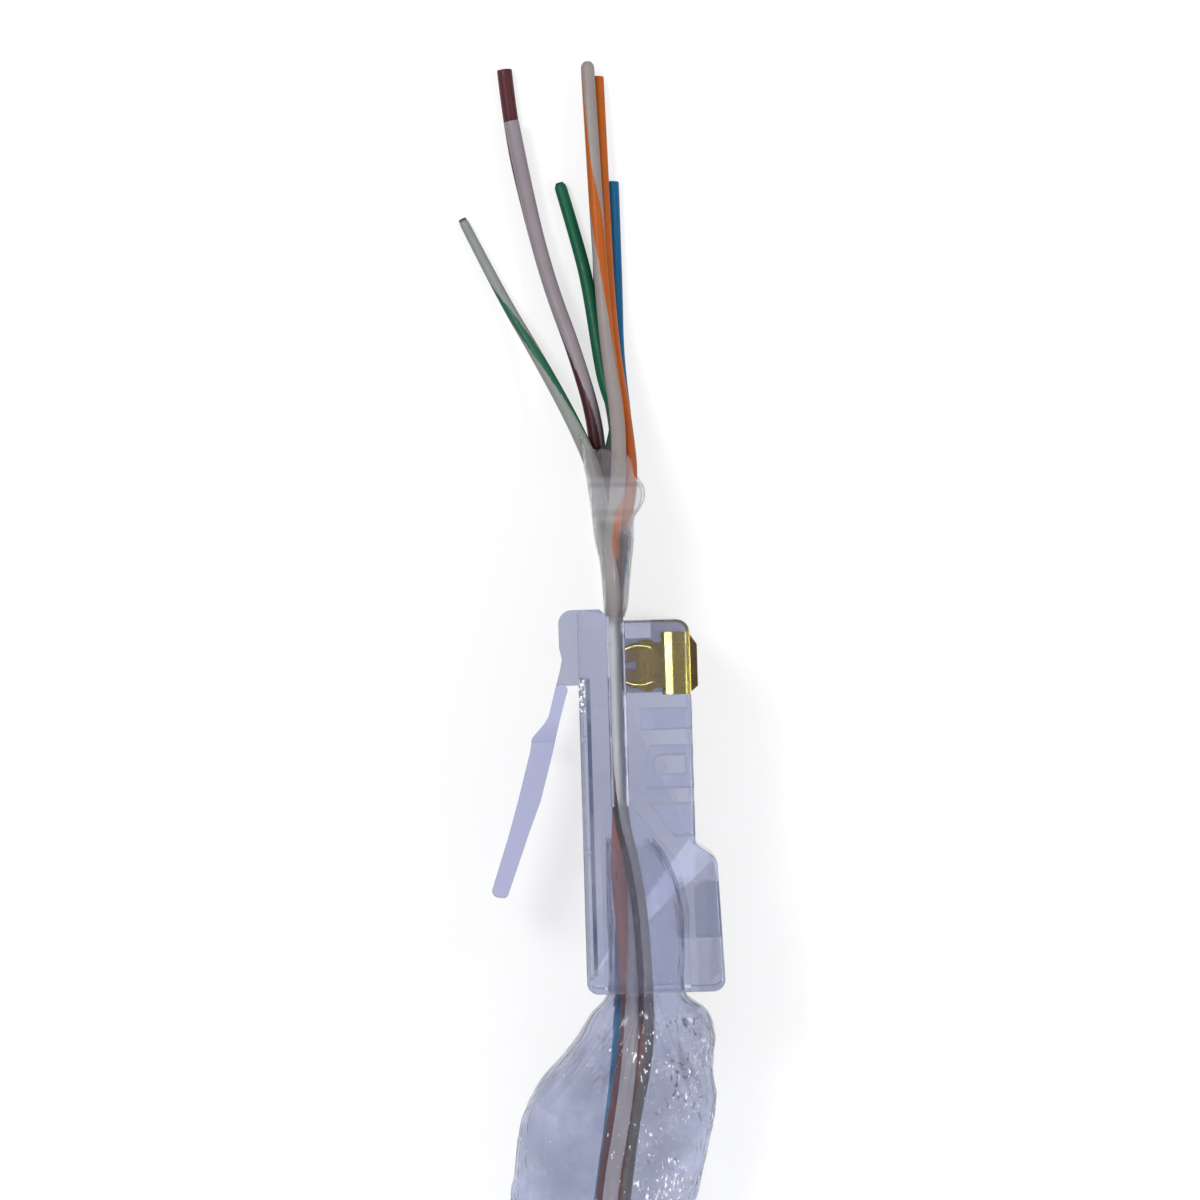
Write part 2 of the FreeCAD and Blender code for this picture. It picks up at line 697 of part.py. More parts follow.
def rounded_section(left, right, low, high, radius, y):
    """A closed wire across the Y axis: a rectangle with round corners."""
    k = radius * (1 - math.sqrt(0.5))

    def at(x, z):
        return Vector(x, y, z)

    sides = [
        Part.LineSegment(at(left + radius, low), at(right - radius, low)),
        Part.Arc(at(right - radius, low), at(right - k, low + k), at(right, low + radius)),
        Part.LineSegment(at(right, low + radius), at(right, high - radius)),
        Part.Arc(at(right, high - radius), at(right - k, high - k), at(right - radius, high)),
        Part.LineSegment(at(right - radius, high), at(left + radius, high)),
        Part.Arc(at(left + radius, high), at(left + k, high - k), at(left, high - radius)),
        Part.LineSegment(at(left, high - radius), at(left, low + radius)),
        Part.Arc(at(left, low + radius), at(left + k, low + k), at(left + radius, low)),
    ]
    return Part.Wire([side.toShape() for side in sides])


def sleeve(sections, radius):
    """A thin open-ended skin through sections (y, left, right, low, high)."""
    t = FILM_THICKNESS
    outer = [rounded_section(a, b, c, d, radius, y) for y, a, b, c, d in sections]
    inner = [
        rounded_section(a + t, b - t, c + t, d - t, radius - t, y) for y, a, b, c, d in sections
    ]
    return Part.makeLoft(outer, True, True).cut(Part.makeLoft(inner, True, True))


def make_parts():
    parts = {"housing": make_housing(), "latch": make_latch()}
    for number, height in enumerate(position_heights(), 1):
        parts[f"contact_{number}"] = make_contact(height)
    parts["hank_tie"] = make_tie()
    parts["cable_hank"] = make_hank(parts["hank_tie"])
    parts["cable_jacket"] = make_cable(parts["cable_hank"])
    for name, points in ROUTES.items():
        path = rounded_path(points, name)
        insulation = swept(path, WIRE_DIAMETER, CORE_DIAMETER)
        core = swept(path, CORE_DIAMETER - 2 * CORE_CLEARANCE)
        parts[f"{name}_insulation"] = insulation.cut(parts["cable_jacket"])
        parts[f"{name}_core"] = core.cut(parts["cable_jacket"])
    parts["film_sleeve"] = sleeve(FILM_SLEEVE, SLEEVE_CORNER)
    parts["nose_wrap"] = sleeve(FILM_WRAP, WRAP_CORNER)
    return parts


os.makedirs("parts", exist_ok=True)
for node, shape in make_parts().items():
    if not shape.isValid() or len(shape.Solids) != 1:
        print("check", node, "valid", shape.isValid(), "solids", len(shape.Solids))
    shape.exportStep(f"parts/{node}.step")
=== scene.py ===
import math

import bpy
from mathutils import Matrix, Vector, noise


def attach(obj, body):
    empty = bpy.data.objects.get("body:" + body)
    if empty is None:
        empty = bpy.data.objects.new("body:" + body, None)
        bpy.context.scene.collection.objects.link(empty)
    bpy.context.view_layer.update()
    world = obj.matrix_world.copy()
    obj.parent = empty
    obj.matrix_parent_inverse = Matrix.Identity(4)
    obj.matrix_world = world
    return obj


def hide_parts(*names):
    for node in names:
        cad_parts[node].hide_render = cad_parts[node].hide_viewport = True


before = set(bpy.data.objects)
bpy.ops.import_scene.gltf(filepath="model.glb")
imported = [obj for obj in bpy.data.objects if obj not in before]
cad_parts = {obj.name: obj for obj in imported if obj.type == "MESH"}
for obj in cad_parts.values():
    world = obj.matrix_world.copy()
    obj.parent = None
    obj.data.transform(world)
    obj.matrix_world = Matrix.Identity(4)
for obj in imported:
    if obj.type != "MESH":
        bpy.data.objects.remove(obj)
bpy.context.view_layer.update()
MM = 0.001
# Enough for light that crosses all eight slots of clear plastic on its way to the floor.
LIGHT_BOUNCES = 40

# What the camera looks down on, in millimetres: the middle of its view, the view's width there, and its turn.
VIEW_CENTRE = (-1.9, 11.85, 10.0)
VIEW_WIDTH = 70.6
VIEW_TURN = -1.65
SENSOR_WIDTH = 36.0
LENS = 260.0

# The conductors' routes in millimetres, from the cable's jacket, through the plug, to their cut ends.
ROUTES = {
    "white_orange": [
        (-2.15, -27.9, 3.85), (-1.50, -23.5, 4.60), (-0.84, -19.0, 5.30), (0.08, -15.2, 6.45),
        (0.18, -11.7, 7.35), (-0.02, -7.0, 8.45), (-0.42, -3.8, 9.10), (-1.07, -1.0, 9.41),
        (-1.07, 3.0, 9.41), (-1.12, 12.9, 9.41), (-1.15, 15.4, 8.75), (-0.58, 18.6, 6.90),
        (-0.48, 22.4, 4.60), (-0.99, 26.5, 3.05), (-1.25, 30.3, 2.20), (-1.52, 37.0, 1.95),
        (-1.74, 44.05, 1.20),
    ],
    "orange": [
        (-3.35, -27.9, 3.85), (-2.75, -23.5, 4.25), (-1.95, -19.0, 5.32), (-1.20, -15.2, 5.75),
        (-0.78, -11.7, 5.90), (-1.14, -7.0, 6.95), (-1.32, -3.8, 8.12), (-1.07, -1.0, 8.39),
        (-1.07, 3.0, 8.39), (-1.05, 12.9, 8.39), (-0.72, 15.4, 7.80), (0.20, 18.6, 6.10),
        (-0.10, 22.4, 3.74), (-0.68, 26.5, 2.20), (-0.92, 30.3, 1.35), (-1.05, 36.8, 1.25),
        (-1.18, 43.2, 0.50),
    ],
    "white_green": [
        (-2.75, -27.9, 4.65), (-2.38, -23.5, 5.15), (-1.45, -19.0, 6.10), (-0.88, -15.2, 6.60),
        (-0.60, -11.7, 6.80), (-0.34, -7.0, 7.62), (-0.40, -3.8, 7.52), (-1.07, -1.0, 7.37),
        (-1.07, 3.0, 7.37), (-1.07, 11.6, 7.37), (-1.38, 14.2, 7.15), (-1.68, 16.8, 6.30),
        (-1.88, 19.3, 5.00), (-3.12, 22.4, 3.40), (-5.20, 26.5, 1.75), (-7.32, 30.3, 0.75),
        (-9.50, 34.9, 0.46),
    ],
    "blue": [
        (-3.35, -27.9, 2.75), (-2.82, -23.5, 3.30), (-2.03, -19.0, 4.40), (-1.53, -15.2, 4.88),
        (-1.27, -11.7, 5.00), (-1.12, -7.0, 6.05), (-1.10, -3.8, 6.40), (-1.07, -1.0, 6.35),
        (-1.07, 3.0, 6.35), (-1.05, 11.6, 6.35), (-0.62, 14.2, 6.20), (-0.25, 16.8, 5.45),
        (-0.02, 19.3, 4.25), (-0.08, 22.0, 2.05), (-0.50, 26.5, 1.05), (-0.44, 30.3, 0.50),
        (-0.50, 36.9, 0.46),
    ],
    "white_blue": [
        (-2.25, -27.9, 2.75), (-1.80, -23.5, 3.55), (-1.04, -19.0, 4.35), (-0.45, -15.2, 5.00),
        (0.02, -11.7, 5.30), (-0.12, -7.0, 5.70), (-0.80, -3.8, 5.30), (-1.07, -1.0, 5.33),
        (-1.07, 3.0, 5.33), (-1.05, 12.9, 5.33), (-0.90, 15.4, 5.00), (-0.42, 18.6, 3.80),
        (-0.62, 20.6, 2.45), (-0.62, 22.4, 1.30), (-1.38, 26.5, 0.84), (-1.34, 30.3, 0.47),
        (-1.38, 34.9, 0.46),
    ],
    "green": [
        (-2.15, -27.9, 1.70), (-1.55, -23.5, 2.50), (-0.90, -19.0, 3.25), (-0.30, -15.2, 4.00),
        (0.00, -11.7, 4.35), (-0.35, -7.0, 4.72), (-0.95, -3.8, 4.34), (-1.07, -1.0, 4.31),
        (-1.07, 3.0, 4.31), (-1.05, 12.9, 4.31), (-1.38, 15.4, 4.12), (-1.60, 18.6, 4.15),
        (-0.96, 20.6, 3.62), (-0.47, 22.6, 2.88), (-1.20, 24.6, 2.32), (-1.52, 26.5, 1.80),
        (-1.97, 30.0, 1.20), (-2.45, 32.6, 0.62), (-3.62, 36.9, 0.46),
    ],
    "white_brown": [
        (-3.30, -27.9, 1.65), (-2.70, -23.5, 2.35), (-2.05, -19.0, 3.10), (-1.50, -15.2, 3.80),
        (-1.15, -11.7, 4.10), (-1.05, -7.0, 3.80), (-1.05, -3.8, 3.34), (-1.07, -1.0, 3.29),
        (-1.07, 3.0, 3.29), (-1.05, 12.9, 3.29), (-1.45, 15.4, 3.12), (-1.95, 18.6, 2.95),
        (-1.80, 22.2, 3.25), (-3.00, 26.8, 2.30), (-4.32, 30.6, 1.45), (-5.45, 35.2, 1.38),
        (-6.38, 40.65, 1.38),
    ],
    "brown": [
        (-2.70, -27.9, 0.85), (-2.10, -23.5, 1.60), (-1.45, -19.0, 2.30), (-0.90, -15.2, 3.05),
        (-0.50, -11.7, 3.40), (-0.60, -7.0, 2.90), (-0.98, -3.8, 2.33), (-1.07, -1.0, 2.27),
        (-1.07, 3.0, 2.27), (-1.05, 12.9, 2.27), (-1.30, 15.4, 2.20), (-1.72, 18.6, 2.05),
        (-1.75, 22.2, 1.50), (-3.00, 26.8, 1.20), (-4.32, 30.6, 0.54), (-5.45, 35.2, 0.46),
        (-6.38, 39.8, 0.46), (-6.72, 43.8, 0.46),
    ],
}
# Where each stripe faces at a place along the plug, in turns: 0 up, 0.25 right, 0.5 down, 0.75 left.
STRIPE_FACES = {
    "white_orange": [
        (-28.0, 0.82), (-19.0, 0.81), (-12.0, 0.79), (-10.5, 0.84), (-3.0, 0.85), (0.2, 0.80),
        (6.0, 0.55), (11.0, 0.45), (13.2, 0.32), (14.8, 0.17), (16.9, 0.17), (18.2, 0.38),
        (22.0, 0.34), (28.0, 0.26), (32.2, 0.12), (35.2, -0.03), (37.6, -0.19), (40.5, -0.26),
        (44.05, -0.34),
    ],
    "white_green": [
        (-28.0, 0.50), (18.0, 0.45), (21.5, 0.25), (24.5, 0.12), (27.0, 0.00), (29.3, -0.12),
        (31.0, -0.30), (34.4, -0.42),
    ],
    "white_blue": [(-28.0, 0.50), (35.0, 0.50)],
    "white_brown": [
        (-28.0, 0.50), (12.0, 0.20), (17.0, 0.10), (20.0, 0.00), (23.0, -0.12), (26.3, -0.27),
        (30.0, -0.42), (40.3, -0.60),
    ],
}
NO_STRIPE = [(0.0, 0.0), (1.0, 0.0)]

# How finely a route is drawn between two of its points.
ROUTE_STEPS = 14

WIRE_DIAMETER = 0.90 * MM
WIRE_SIDES = 20
# From here on the insulation thins to a share of its size at the cut end, where it is pinched round or cut.
STRETCH_START = 20.0 * MM
TIP_SHARE = {"white_green": 0.64, "green": 0.82, "white_orange": 0.90, "orange": 0.90, "white_blue": 0.86}
ROUND_TIPS = ("white_green", "green", "white_orange")
ROUND_BEVEL = 0.30 * MM
CUT_BEVEL = 0.08 * MM
# The bevel's rings between its foot and its end, as shares of it outwards and inwards.
BEVEL_RINGS = ((0.5, 0.14), (0.85, 0.45))
# The copper core, its gap in the insulation, how deep the open bore shows, how far the core stands out and
# the share of its size that its end has.
CORE_DIAMETER = 0.48 * MM
CORE_SIDES = 14
CORE_GAP = 0.01 * MM
BORE_DEPTH = 0.5 * MM
CORE_PROUD = 0.03 * MM
CORE_END_SHARE = 0.8

# The cable's route to the hank, and the hank, in millimetres. The second turn lies on the first, and the fold
# between them climbs over its first steps.
CABLE_ROUTE = [(-2.70, -27.5, 2.75), (-4.40, -38.5, 2.75), (-4.62, -49.5, 2.75)]
CABLE_DIAMETER = 5.5
CABLE_SIDES = 28
HANK_LEFT = -4.50
HANK_NEAR = -60.0
HANK_RUN = 60.0
HANK_RUN_SHARES = (0.12, 0.5, 0.88)
HANK_FOLD = 3 * CABLE_DIAMETER
HANK_FOLD_STEPS = 6
HANK_CLIMB_STEPS = 4


# Camera: looking straight down through a long lens, the nose a little to the left


def make_camera():
    data = bpy.data.cameras.new("camera")
    data.sensor_width = SENSOR_WIDTH
    data.lens = LENS
    data.clip_start = 0.01
    camera = bpy.data.objects.new("camera", data)
    x, y, z = VIEW_CENTRE
    camera.location = (x * MM, y * MM, z * MM + VIEW_WIDTH * MM * LENS / SENSOR_WIDTH)
    camera.rotation_euler = (0, 0, math.radians(VIEW_TURN))
    bpy.context.collection.objects.link(camera)
    bpy.context.scene.camera = camera


# Tubes that follow a smooth route


def centreline(name, points):
    """The line of a NURBS curve with these control points, in metres."""
    curve = bpy.data.curves.new(name, "CURVE")
    curve.dimensions = "3D"
    curve.resolution_u = ROUTE_STEPS
    spline = curve.splines.new("NURBS")
    spline.points.add(len(points) - 1)
    for point, place in zip(spline.points, points):
        point.co = (place[0] * MM, place[1] * MM, place[2] * MM, 1)
    spline.order_u = 3
    spline.use_endpoint_u = True
    holder = bpy.data.objects.new(name, curve)
    mesh = bpy.data.meshes.new_from_object(holder)
    line = [vertex.co.copy() for vertex in mesh.vertices]
    bpy.data.objects.remove(holder)
    bpy.data.curves.remove(curve)
    bpy.data.meshes.remove(mesh)
    return line


def frames_along(line):
    """For each point of the line, two directions across it that turn as little as they can."""
    pairs = []
    side = Vector((0, 0, 1))
    for index in range(len(line)):
        ahead = (line[min(index + 1, len(line) - 1)] - line[max(index - 1, 0)]).normalized()
        side = (side - ahead * side.dot(ahead)).normalized()
        pairs.append((side, ahead.cross(side)))
    return pairs


def lengths_along(line):
    total = [0.0]
    for before, after in zip(line, line[1:]):
        total.append(total[-1] + (after - before).length)
    return total


def between(table, at):
    """The second column of a table at a value of its first, along straight lines."""
    for (low, first), (high, second) in zip(table, table[1:]):
        if at <= high:
            return first + (second - first) * max(0.0, (at - low) / (high - low))
    return table[-1][1]


def skin(name, rings, closed_ends=True, turns=None):
    """A mesh through rings of points. Its UV map runs round, less the turns given, and along in metres."""
    count = len(rings[0])
    vertices = [point for ring in rings for point in ring]
    faces, uvs = [], []
    turns = turns or [0.0] * len(rings)
    run = lengths_along([sum(ring, Vector()) / count for ring in rings])
    for row in range(len(rings) - 1):
        this, after = row * count, (row + 1) * count
        for step in range(count):
            following = (step + 1) % count
            faces.append((this + step, this + following, after + following, after + step))
            for at, along in ((step, row), (step + 1, row), (step + 1, row + 1), (step, row + 1)):
                uvs.append((at / count - turns[along], run[along]))
    if closed_ends:
        faces.append(tuple(reversed(range(count))))
        faces.append(tuple(range((len(rings) - 1) * count, len(rings) * count)))
        uvs += [(0.5, 0.0)] * count + [(0.5, run[-1])] * count
    mesh = bpy.data.meshes.new(name)
    mesh.from_pydata(vertices, [], faces)
    layer = mesh.uv_layers.new(name="UVMap")
    for loop, uv in zip(layer.data, uvs):
        loop.uv = uv
    mesh.validate()
    for polygon in mesh.polygons:
        polygon.use_smooth = True
    obj = bpy.data.objects.new(name, mesh)
    bpy.context.collection.objects.link(obj)
    return obj


def ring_at(centre, pair, radius, count):
    side, across = pair
    return [
        centre + (side * math.cos(a) + across * math.sin(a)) * radius
        for a in (2 * math.pi * step / count for step in range(count))
    ]


def make_insulation(name, line):
    """The insulation of one conductor: a tube with a bevelled, open cut end round its core."""
    pairs = frames_along(line)
    bore = CORE_DIAMETER / 2 + CORE_GAP
    tip = line[-1]
    ahead = (tip - line[-2]).normalized()

    def tip_ring(back, radius):
        return ring_at(tip - ahead * back, pairs[-1], radius, WIRE_SIDES)

    stretch = [(STRETCH_START, 1.0), (tip.y, TIP_SHARE.get(name, 1.0))]
    radii = [WIRE_DIAMETER / 2 * between(stretch, point.y) for point in line]
    rings = [ring_at(point, pair, radius, WIRE_SIDES) for point, pair, radius in zip(line, pairs, radii)]
    bevel = ROUND_BEVEL if name in ROUND_TIPS else CUT_BEVEL
    rings[-1] = tip_ring(bevel, radii[-1])
    for out, share in BEVEL_RINGS:
        rings.append(tip_ring(bevel * (1 - out), radii[-1] - bevel * share))
    rings.append(tip_ring(0.0, max(bore, radii[-1] - bevel)))
    rings.append(tip_ring(0.0, bore))
    rings.append(tip_ring(BORE_DEPTH, bore))
    turns = [between(STRIPE_FACES.get(name, NO_STRIPE), point.y / MM) for point in line]
    turns += turns[-1:] * (len(rings) - len(turns))
    return skin(f"{name}_insulation_tube", rings, turns=turns)


def make_core(name, line):
    """The copper core, cut off a hair proud of its insulation."""
    pairs = frames_along(line)
    radius = CORE_DIAMETER / 2
    rings = [ring_at(point, pair, radius, CORE_SIDES) for point, pair in zip(line, pairs)]
    end = line[-1] + (line[-1] - line[-2]).normalized() * CORE_PROUD
    rings.append(ring_at(end, pairs[-1], radius * CORE_END_SHARE, CORE_SIDES))
    return skin(f"{name}_core_wire", rings)


def make_conductors():
    for name, points in ROUTES.items():
        line = centreline(name, points)
        insulation = make_insulation(name, line)
        core = make_core(name, line)
        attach(insulation, "plug")
        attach(core, "plug")
        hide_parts(f"{name}_insulation")
        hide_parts(f"{name}_core")


def hank_points():
    """The middle line's control points through both turns of the hank, in millimetres."""
    right = HANK_LEFT + 2 * HANK_FOLD
    middle = HANK_LEFT + HANK_FOLD
    far = HANK_NEAR - HANK_RUN
    low, high = CABLE_DIAMETER / 2, CABLE_DIAMETER * 1.5
    bulge = HANK_FOLD / math.cos(math.pi / (2 * HANK_FOLD_STEPS))
    points = []
    for turn, level in enumerate((low, high)):
        for part in HANK_RUN_SHARES:
            points.append((HANK_LEFT, HANK_NEAR - HANK_RUN * part, level))
        for step in range(1, HANK_FOLD_STEPS):
            angle = math.pi * (1 + step / HANK_FOLD_STEPS)
            points.append((middle + bulge * math.cos(angle), far + bulge * math.sin(angle), level))
        for part in reversed(HANK_RUN_SHARES):
            points.append((right, HANK_NEAR - HANK_RUN * part, level))
        if turn == 0:
            for step in range(1, HANK_FOLD_STEPS):
                angle = math.pi * step / HANK_FOLD_STEPS
                climb = (high - low) * min(1.0, step / HANK_CLIMB_STEPS)
                x, y = middle + bulge * math.cos(angle), HANK_NEAR + bulge * math.sin(angle)
                points.append((x, y, low + climb))
    return points


def make_cable():
    line = centreline("cable", CABLE_ROUTE + hank_points())
    pairs = frames_along(line)
    radius = CABLE_DIAMETER / 2 * MM
    rings = [ring_at(point, pair, radius, CABLE_SIDES) for point, pair in zip(line, pairs)]
    cable = skin("cable_tube", rings)
    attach(cable, "plug")
    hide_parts("cable_jacket", "cable_hank")


# Materials


def start_material(name, colour, roughness, metallic=0.0):
    """A new material and its shader."""
    mat = bpy.data.materials.new(name)
    mat.use_nodes = True
    shader = mat.node_tree.nodes["Principled BSDF"]
    shader.inputs["Base Color"].default_value = (*colour, 1)
    shader.inputs["Roughness"].default_value = roughness
    shader.inputs["Metallic"].default_value = metallic
    return mat, shader


def connect(mat, value, socket):
    """Links a socket to an output, or gives it a plain value."""
    if isinstance(value, bpy.types.NodeSocket):
        mat.node_tree.links.new(value, socket)
    else:
        socket.default_value = value


def add(mat, kind, **inputs):
    """A new node with values or links put on its named sockets."""
    node = mat.node_tree.nodes.new(kind)
    for key, value in inputs.items():
        connect(mat, value, node.inputs[key.replace("_", " ")])
    return node


def place_of(mat):
    """The surface's own place in metres, which moves with the piece."""
    return add(mat, "ShaderNodeTexCoord").outputs["Object"]


def axes_of(mat, place):
    return add(mat, "ShaderNodeSeparateXYZ", Vector=place).outputs


def math_node(mat, operation, first, second=0.0):
    node = mat.node_tree.nodes.new("ShaderNodeMath")
    node.operation = operation
    for socket, value in zip(node.inputs, (first, second)):
        connect(mat, value, socket)
    return node.outputs[0]


def plus(mat, first, second):
    return math_node(mat, "ADD", first, second)


def minus(mat, first, second):
    return math_node(mat, "SUBTRACT", first, second)


def times(mat, first, second):
    return math_node(mat, "MULTIPLY", first, second)


def noise_node(mat, vector, scale, detail=3.0, rough=0.55):
    node = add(mat, "ShaderNodeTexNoise", Vector=vector, Scale=scale, Detail=detail, Roughness=rough)
    return node.outputs["Fac"]


def stretched(mat, place, scale, turn=0.0):
    """The place turned about Z and scaled along each axis, for noise that is drawn out one way."""
    node = add(mat, "ShaderNodeMapping", Vector=place, Rotation=(0.0, 0.0, turn), Scale=scale)
    return node.outputs["Vector"]


def remap(mat, value, low, high, to_low, to_high, smooth=False):
    node = mat.node_tree.nodes.new("ShaderNodeMapRange")
    if smooth:
        node.interpolation_type = "SMOOTHSTEP"
    sockets = ("Value", "From Min", "From Max", "To Min", "To Max")
    for key, given in zip(sockets, (value, low, high, to_low, to_high)):
        connect(mat, given, node.inputs[key])
    return node.outputs["Result"]


def fade(mat, value, low, high, to_low=0.0, to_high=1.0):
    """A smooth change from one number to another between two places in millimetres."""
    return remap(mat, value, low * MM, high * MM, to_low, to_high, True)


def within(mat, value, low, high, soft):
    """1 between two places in millimetres, fading to 0 over the soft width outside them."""
    return times(mat, fade(mat, value, low - soft, low), fade(mat, value, high, high + soft, 1.0, 0.0))


def ridges(mat, vector, scale, width, detail=3.0):
    """1 on the thin lines where a noise crosses its middle value, fading to 0 at the width from it."""
    off = math_node(mat, "ABSOLUTE", minus(mat, noise_node(mat, vector, scale, detail), 0.5))
    return remap(mat, off, 0.0, width, 1.0, 0.0, True)


def mix_colours(mat, factor, first, second):
    node = mat.node_tree.nodes.new("ShaderNodeMix")
    node.data_type = "RGBA"
    connect(mat, factor, node.inputs[0])
    for socket, value in ((node.inputs[6], first), (node.inputs[7], second)):
        connect(mat, value if isinstance(value, bpy.types.NodeSocket) else (*value, 1), socket)
    return node.outputs[2]


def bump(mat, shader, height, strength, distance):
    node = add(mat, "ShaderNodeBump", Strength=strength, Distance=distance, Height=height)
    connect(mat, node.outputs["Normal"], shader.inputs["Normal"])


def dark(colour, share):
    return tuple(channel * share for channel in colour)


def box_mask(mat, axes, bounds, soft):
    """1 inside a box given as (low, high) for each axis in millimetres, fading to 0 over the soft width."""
    mask = 1.0
    for axis, (low, high) in bounds.items():
        mask = times(mat, mask, within(mat, axes[axis], low, high, soft))
    return mask


HOUSING_COLOUR = (0.755, 0.785, 0.925)
LATCH_COLOUR = (0.56, 0.57, 0.76)
LATCH_ROOT_COLOUR = (0.67, 0.69, 0.86)
# Plastic that looks clear, where thin walls or the contacts' slots are seen through.
CLEAR_COLOUR = (0.93, 0.93, 0.95)
PLASTIC_CLEARNESS = 0.97
PLASTIC_IOR = 1.3
# The colour that light takes on in thick walls, and how fast it does in the housing and in the latch.
DEPTH_COLOUR = (0.18, 0.24, 0.57)
HOUSING_DENSITY = 40.0
LATCH_DENSITY = 60.0
# Between these two places along Y, in millimetres, the latch turns paler towards its root.
LATCH_ROOT = (3.0, 5.2)
# Where the housing is greyer than elsewhere, because its walls stack up, and by how much.
GREY_BOXES = [
    ({"X": (-5.0, -3.35)}, 0.72),
    ({"X": (3.3, 6.0), "Y": (-12.0, -3.4)}, 0.84),
    ({"X": (2.1, 4.4), "Y": (-8.1, -4.9)}, 0.80),
]
# Where it is clear: in the contacts' slots, the wires' holes and the groove under the latch.
CLEAR_BOXES = [
    {"X": (-1.62, 4.0), "Y": (5.7, 10.9), "Z": (2.0, 9.75)},
    {"X": (-1.65, -0.45), "Y": (-1.0, 12.0), "Z": (1.5, 10.2)},
    {"X": (-3.28, -2.86), "Y": (-10.4, 7.2), "Z": (2.3, 9.4)},
]
# A broken line of painted shade along the groove, and the box where the white specks lie.
GROOVE_SHADE_LINE = {"X": (-2.84, -2.66), "Y": (-10.2, 7.2)}
GROOVE_SHADE_COLOUR = (0.14, 0.16, 0.27)
SPECKLE_BOX = {"X": (-3.30, -2.95), "Y": (5.3, 7.2)}


def housing_finish(mat, place, tint):
    """The housing's tint and clearness, with a broken line of painted shade by the groove and white specks at
    its end.
    """
    axes = axes_of(mat, place)
    for box, share in GREY_BOXES:
        tint = mix_colours(mat, box_mask(mat, axes, box, 0.1), tint, dark(HOUSING_COLOUR, share))
    for box in CLEAR_BOXES:
        tint = mix_colours(mat, box_mask(mat, axes, box, 0.02), tint, CLEAR_COLOUR)
    # Painted shade: a dark line along the groove, broken up along Y.
    breaks = noise_node(mat, stretched(mat, place, (60.0, 420.0, 60.0)), 1.0)
    line = times(mat, box_mask(mat, axes, GROOVE_SHADE_LINE, 0.05), remap(mat, breaks, 0.35, 0.6, 0.55, 1.0))
    tint = mix_colours(mat, line, tint, GROOVE_SHADE_COLOUR)
    # White specks at the groove's end, whiter and less clear than the plastic round them.
    white_specks = remap(mat, noise_node(mat, place, 5200.0, 2.0), 0.52, 0.56, 0.0, 1.0)
    white_specks = times(mat, white_specks, box_mask(mat, axes, SPECKLE_BOX, 0.04))
    tint = mix_colours(mat, white_specks, tint, (1.0, 1.0, 1.0))
    return tint, minus(mat, PLASTIC_CLEARNESS, times(mat, white_specks, 0.9))


def latch_finish(mat, place, tint):
    """The latch's tint and clearness: paler at its root."""
    root = fade(mat, axes_of(mat, place)["Y"], *LATCH_ROOT)
    return mix_colours(mat, root, tint, LATCH_ROOT_COLOUR), PLASTIC_CLEARNESS


def plastic_material(name, colour, density, finish):
    """Clear moulded plastic, faintly violet where it is thick, with moulding waves and fine scuffs."""
    mat, shader = start_material(name, colour, 0.12)
    place = place_of(mat)
    waves = noise_node(mat, place, 220.0, 2.0)
    tint, clear = finish(mat, place, mix_colours(mat, waves, dark(colour, 0.96), colour))
    connect(mat, tint, shader.inputs["Base Color"])
    connect(mat, clear, shader.inputs["Transmission Weight"])
    scuffs = noise_node(mat, place, 2600.0, 4.0, 0.7)
    connect(mat, remap(mat, scuffs, 0.35, 0.75, 0.05, 0.16), shader.inputs["Roughness"])
    shader.inputs["IOR"].default_value = PLASTIC_IOR
    bump(mat, shader, waves, 0.15, 0.2 * MM)
    depth = add(mat, "ShaderNodeVolumeAbsorption", Color=(*DEPTH_COLOUR, 1), Density=density)
    connect(mat, depth.outputs["Volume"], mat.node_tree.nodes["Material Output"].inputs["Volume"])
    return mat


FILM_IOR = 1.03
FILM_CLEARNESS = 0.96
FILM_COAT = 0.3
FILM_COAT_ROUGHNESS = 0.12
# Places on the film in millimetres, along Y unless they say otherwise. The folds fan out from a point.
FOLD_START_X, FOLD_START_Y = 0.2, -10.0
FOLDS = (-15.5, -12.0)
MOUTH = (-11.6, -10.6)
NOSE_SHADE = (10.8, 15.2)
WRAP = (16.8, 18.7)
# The wrap's two edges, along which shade is painted.
WRAP_EDGE_SHADE = ((16.85, 17.05), (18.6, 18.7))
MILK_START = (10.5, 11.5)
GLINT_THINNING = (-13.5, -11.5)
# The same along X, from the latch side to the contact side.
SHADE_EDGE = (-1.1, -0.6)
MILK_EDGE = (-1.2, 0.0)
STREAK_HIGHLIGHT_EDGE = (-2.0, 1.0)
GLINT_EDGE = (-4.0, 1.0)
# The colours of the painted sheen, of the painted highlight streaks and of the painted glints.
SHEEN_COLOUR = (0.93, 0.94, 0.97)
STREAK_HIGHLIGHT_COLOUR = (0.97, 0.97, 1.0)
GLINT_COLOUR = (0.95, 0.95, 0.97)


def film_fold_shade(mat, x, y):
    """1 on the folds that fan out behind the plug's mouth, fading to 0, where shade is painted."""
    angle = math_node(mat, "ARCTAN2", minus(mat, x, FOLD_START_X * MM), minus(mat, FOLD_START_Y * MM, y))
    fan = add(mat, "ShaderNodeCombineXYZ", X=times(mat, angle, 3.6), Y=times(mat, y, 60.0)).outputs["Vector"]
    return times(mat, ridges(mat, fan, 1.6, 0.022, 1.0), within(mat, y, *FOLDS, 3.5))


